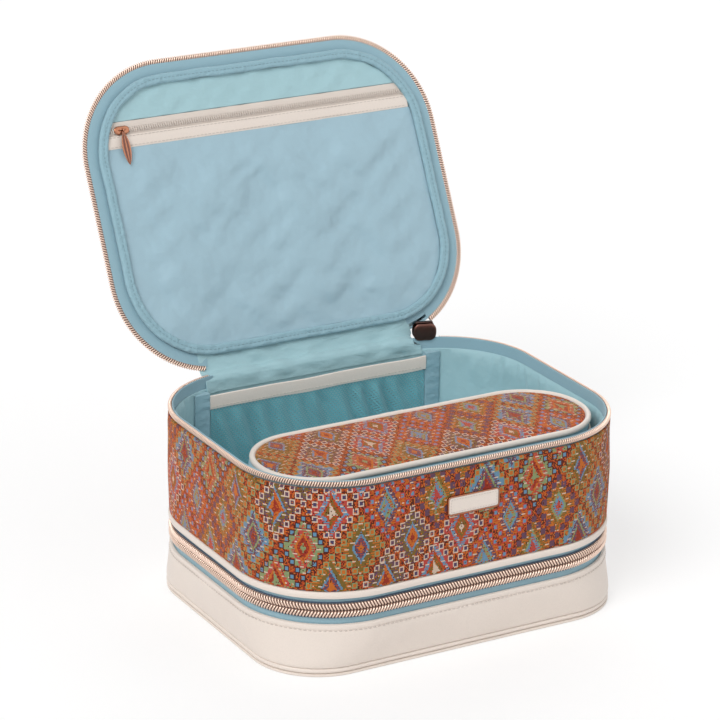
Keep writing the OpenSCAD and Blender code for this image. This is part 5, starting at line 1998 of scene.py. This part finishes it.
class TRAINCASE_OT_stage(bpy.types.Operator):
    """Makes the pale floor, the soft studio light and the camera"""

    bl_idname = "traincase.stage"
    bl_label = "Studio"

    def execute(self, context):
        scene = context.scene
        scene.view_settings.view_transform = "Standard"
        self.floor()
        self.world(scene)
        self.lamp("key_light", (-48, -26, 52), 1.72, 34)
        self.lamp("fill_light", (52, -60, 40), 0.4, 60)
        self.lamp("back_light", (40, 62, 48), 0.6, 50)
        self.camera(scene)
        return {"FINISHED"}

    def floor(self):
        """Pale floor that shows near white and keeps the object's shadow."""
        f = Finish("studio_floor", 0.9)
        f.set(Base_Color=(0.93, 0.93, 0.93, 1))
        where = f.node("ShaderNodeTexCoord").outputs["Object"]
        speck = f.noise(where, 40.0, 2.0)
        f.rough(speck * 0.1 + 0.85)
        light = f.node("ShaderNodeEmission", {0: (1, 1, 1, 1), 1: 1.12})
        path = f.node("ShaderNodeLightPath")
        seen = Number(f, path.outputs["Is Camera Ray"]) + Number(f, path.outputs["Is Glossy Ray"])
        seen = (seen + Number(f, path.outputs["Is Transmission Ray"])).low(1.0)
        mix = f.node("ShaderNodeMixShader", {0: seen * 0.46, 1: f.shader.outputs[0], 2: light.outputs[0]})
        out = f.tree.nodes["Material Output"]
        f.tree.links.new(mix.outputs[0], out.inputs[0])
        mesh = bpy.data.meshes.new("studio_floor")
        half = 9.0
        mesh.from_pydata(
            [(-half, -half, 0), (half, -half, 0), (half, half, 0), (-half, half, 0)], [], [(0, 1, 2, 3)],
        )
        mesh.materials.append(f.material)
        obj = bpy.data.objects.new("studio_floor", mesh)
        bpy.context.scene.collection.objects.link(obj)

    def world(self, scene):
        """Even light from all round, white where it is seen."""
        world = bpy.data.worlds.new("studio_world")
        world.use_nodes = True
        scene.world = world
        nodes, links = world.node_tree.nodes, world.node_tree.links
        path = nodes.new("ShaderNodeLightPath")
        ambient = nodes["Background"]
        ambient.inputs[0].default_value = (1, 1, 1, 1)
        ambient.inputs[1].default_value = 0.45
        white = nodes.new("ShaderNodeBackground")
        white.inputs[0].default_value = (1, 1, 1, 1)
        white.inputs[1].default_value = 1.0
        first, second = nodes.new("ShaderNodeMath"), nodes.new("ShaderNodeMath")
        first.operation = second.operation = "MAXIMUM"
        links.new(path.outputs["Is Camera Ray"], first.inputs[0])
        links.new(path.outputs["Is Glossy Ray"], first.inputs[1])
        links.new(first.outputs[0], second.inputs[0])
        links.new(path.outputs["Is Transmission Ray"], second.inputs[1])
        mix = nodes.new("ShaderNodeMixShader")
        links.new(second.outputs[0], mix.inputs[0])
        links.new(ambient.outputs[0], mix.inputs[1])
        links.new(white.outputs[0], mix.inputs[2])
        links.new(mix.outputs[0], nodes["World Output"].inputs[0])

    def lamp(self, name, direction, strength, spread):
        """Sun with a wide disc, shining from a direction of (right, back, up) parts."""
        data = bpy.data.lights.new(name, "SUN")
        data.energy = strength
        data.angle = math.radians(spread)
        obj = bpy.data.objects.new(name, data)
        obj.rotation_mode = "QUATERNION"
        obj.rotation_quaternion = Vector(direction).to_track_quat("Z", "Y")
        obj.location = Vector(direction).normalized() * 3
        bpy.context.scene.collection.objects.link(obj)

    def rotated(self, first, second, angle):
        """Two upright directions turned by an angle, the first towards the second."""
        c, s = math.cos(angle), math.sin(angle)
        return first * c + second * s, second * c - first * s

    def camera(self, scene):
        """Long lens from the front and left, aimed a little off the middle."""
        azimuth, elevation, roll = math.radians(-30.21), math.radians(21.92), math.radians(0.86)
        pan, tilt, distance = math.radians(-0.52), math.radians(1.54), 2.1545
        level = math.cos(elevation)
        back = Vector((math.sin(azimuth) * level, -math.cos(azimuth) * level, math.sin(elevation)))
        forward = -back
        right = forward.cross(Vector((0, 0, 1))).normalized()
        up = right.cross(forward)
        forward, right = self.rotated(forward, right, pan)
        forward, up = self.rotated(forward, up, tilt)
        right, up = self.rotated(right, up, roll)
        data = bpy.data.cameras.new("studio_camera")
        data.lens, data.sensor_width = 164.56, 36.0
        data.clip_end = 100
        camera = bpy.data.objects.new("studio_camera", data)
        turn = Matrix((right, up, -forward)).transposed()
        camera.matrix_world = Matrix.Translation(Vector((0, 0, 0.1)) + back * distance) @ turn.to_4x4()
        scene.collection.objects.link(camera)
        scene.camera = camera


PIECE_MAKERS = (
    TRAINCASE_OT_base_leather,
    TRAINCASE_OT_base_lining,
    TRAINCASE_OT_base_zip,
    TRAINCASE_OT_upper_walls,
    TRAINCASE_OT_upper_lining,
    TRAINCASE_OT_rim_zip,
    TRAINCASE_OT_back_hinges,
    TRAINCASE_OT_mesh_pocket,
    TRAINCASE_OT_badge,
    TRAINCASE_OT_lid_shell,
    TRAINCASE_OT_lid_inside,
    TRAINCASE_OT_lid_pocket,
    TRAINCASE_OT_handle,
    TRAINCASE_OT_pouch_body,
    TRAINCASE_OT_pouch_lid,
    TRAINCASE_OT_sliders,
    TRAINCASE_OT_stage,
)


class TRAINCASE_PT_panel(bpy.types.Panel):
    """Lists the pieces of the train case and the sizes and colours they use"""

    bl_label = "Train Case"
    bl_idname = "TRAINCASE_PT_panel"
    bl_space_type = "VIEW_3D"
    bl_region_type = "UI"
    bl_category = "Train Case"

    def draw(self, context):
        column = self.layout.column()
        for group in (context.scene.train_case_sizes, context.scene.train_case_colours):
            for name in group.__annotations__:
                column.prop(group, name)
        for maker in PIECE_MAKERS:
            column.operator(maker.bl_idname)


CLASSES = (CaseSizes, CaseColours, *PIECE_MAKERS, TRAINCASE_PT_panel)


def register():
    for cls in CLASSES:
        bpy.utils.register_class(cls)
    bpy.types.Scene.train_case_sizes = bpy.props.PointerProperty(type=CaseSizes)
    bpy.types.Scene.train_case_colours = bpy.props.PointerProperty(type=CaseColours)


def unregister():
    del bpy.types.Scene.train_case_colours
    del bpy.types.Scene.train_case_sizes
    for cls in reversed(CLASSES):
        bpy.utils.unregister_class(cls)


def main():
    register()
    for maker in PIECE_MAKERS:
        group, name = maker.bl_idname.split(".")
        getattr(getattr(bpy.ops, group), name)()


if __name__ == "__main__":
    main()
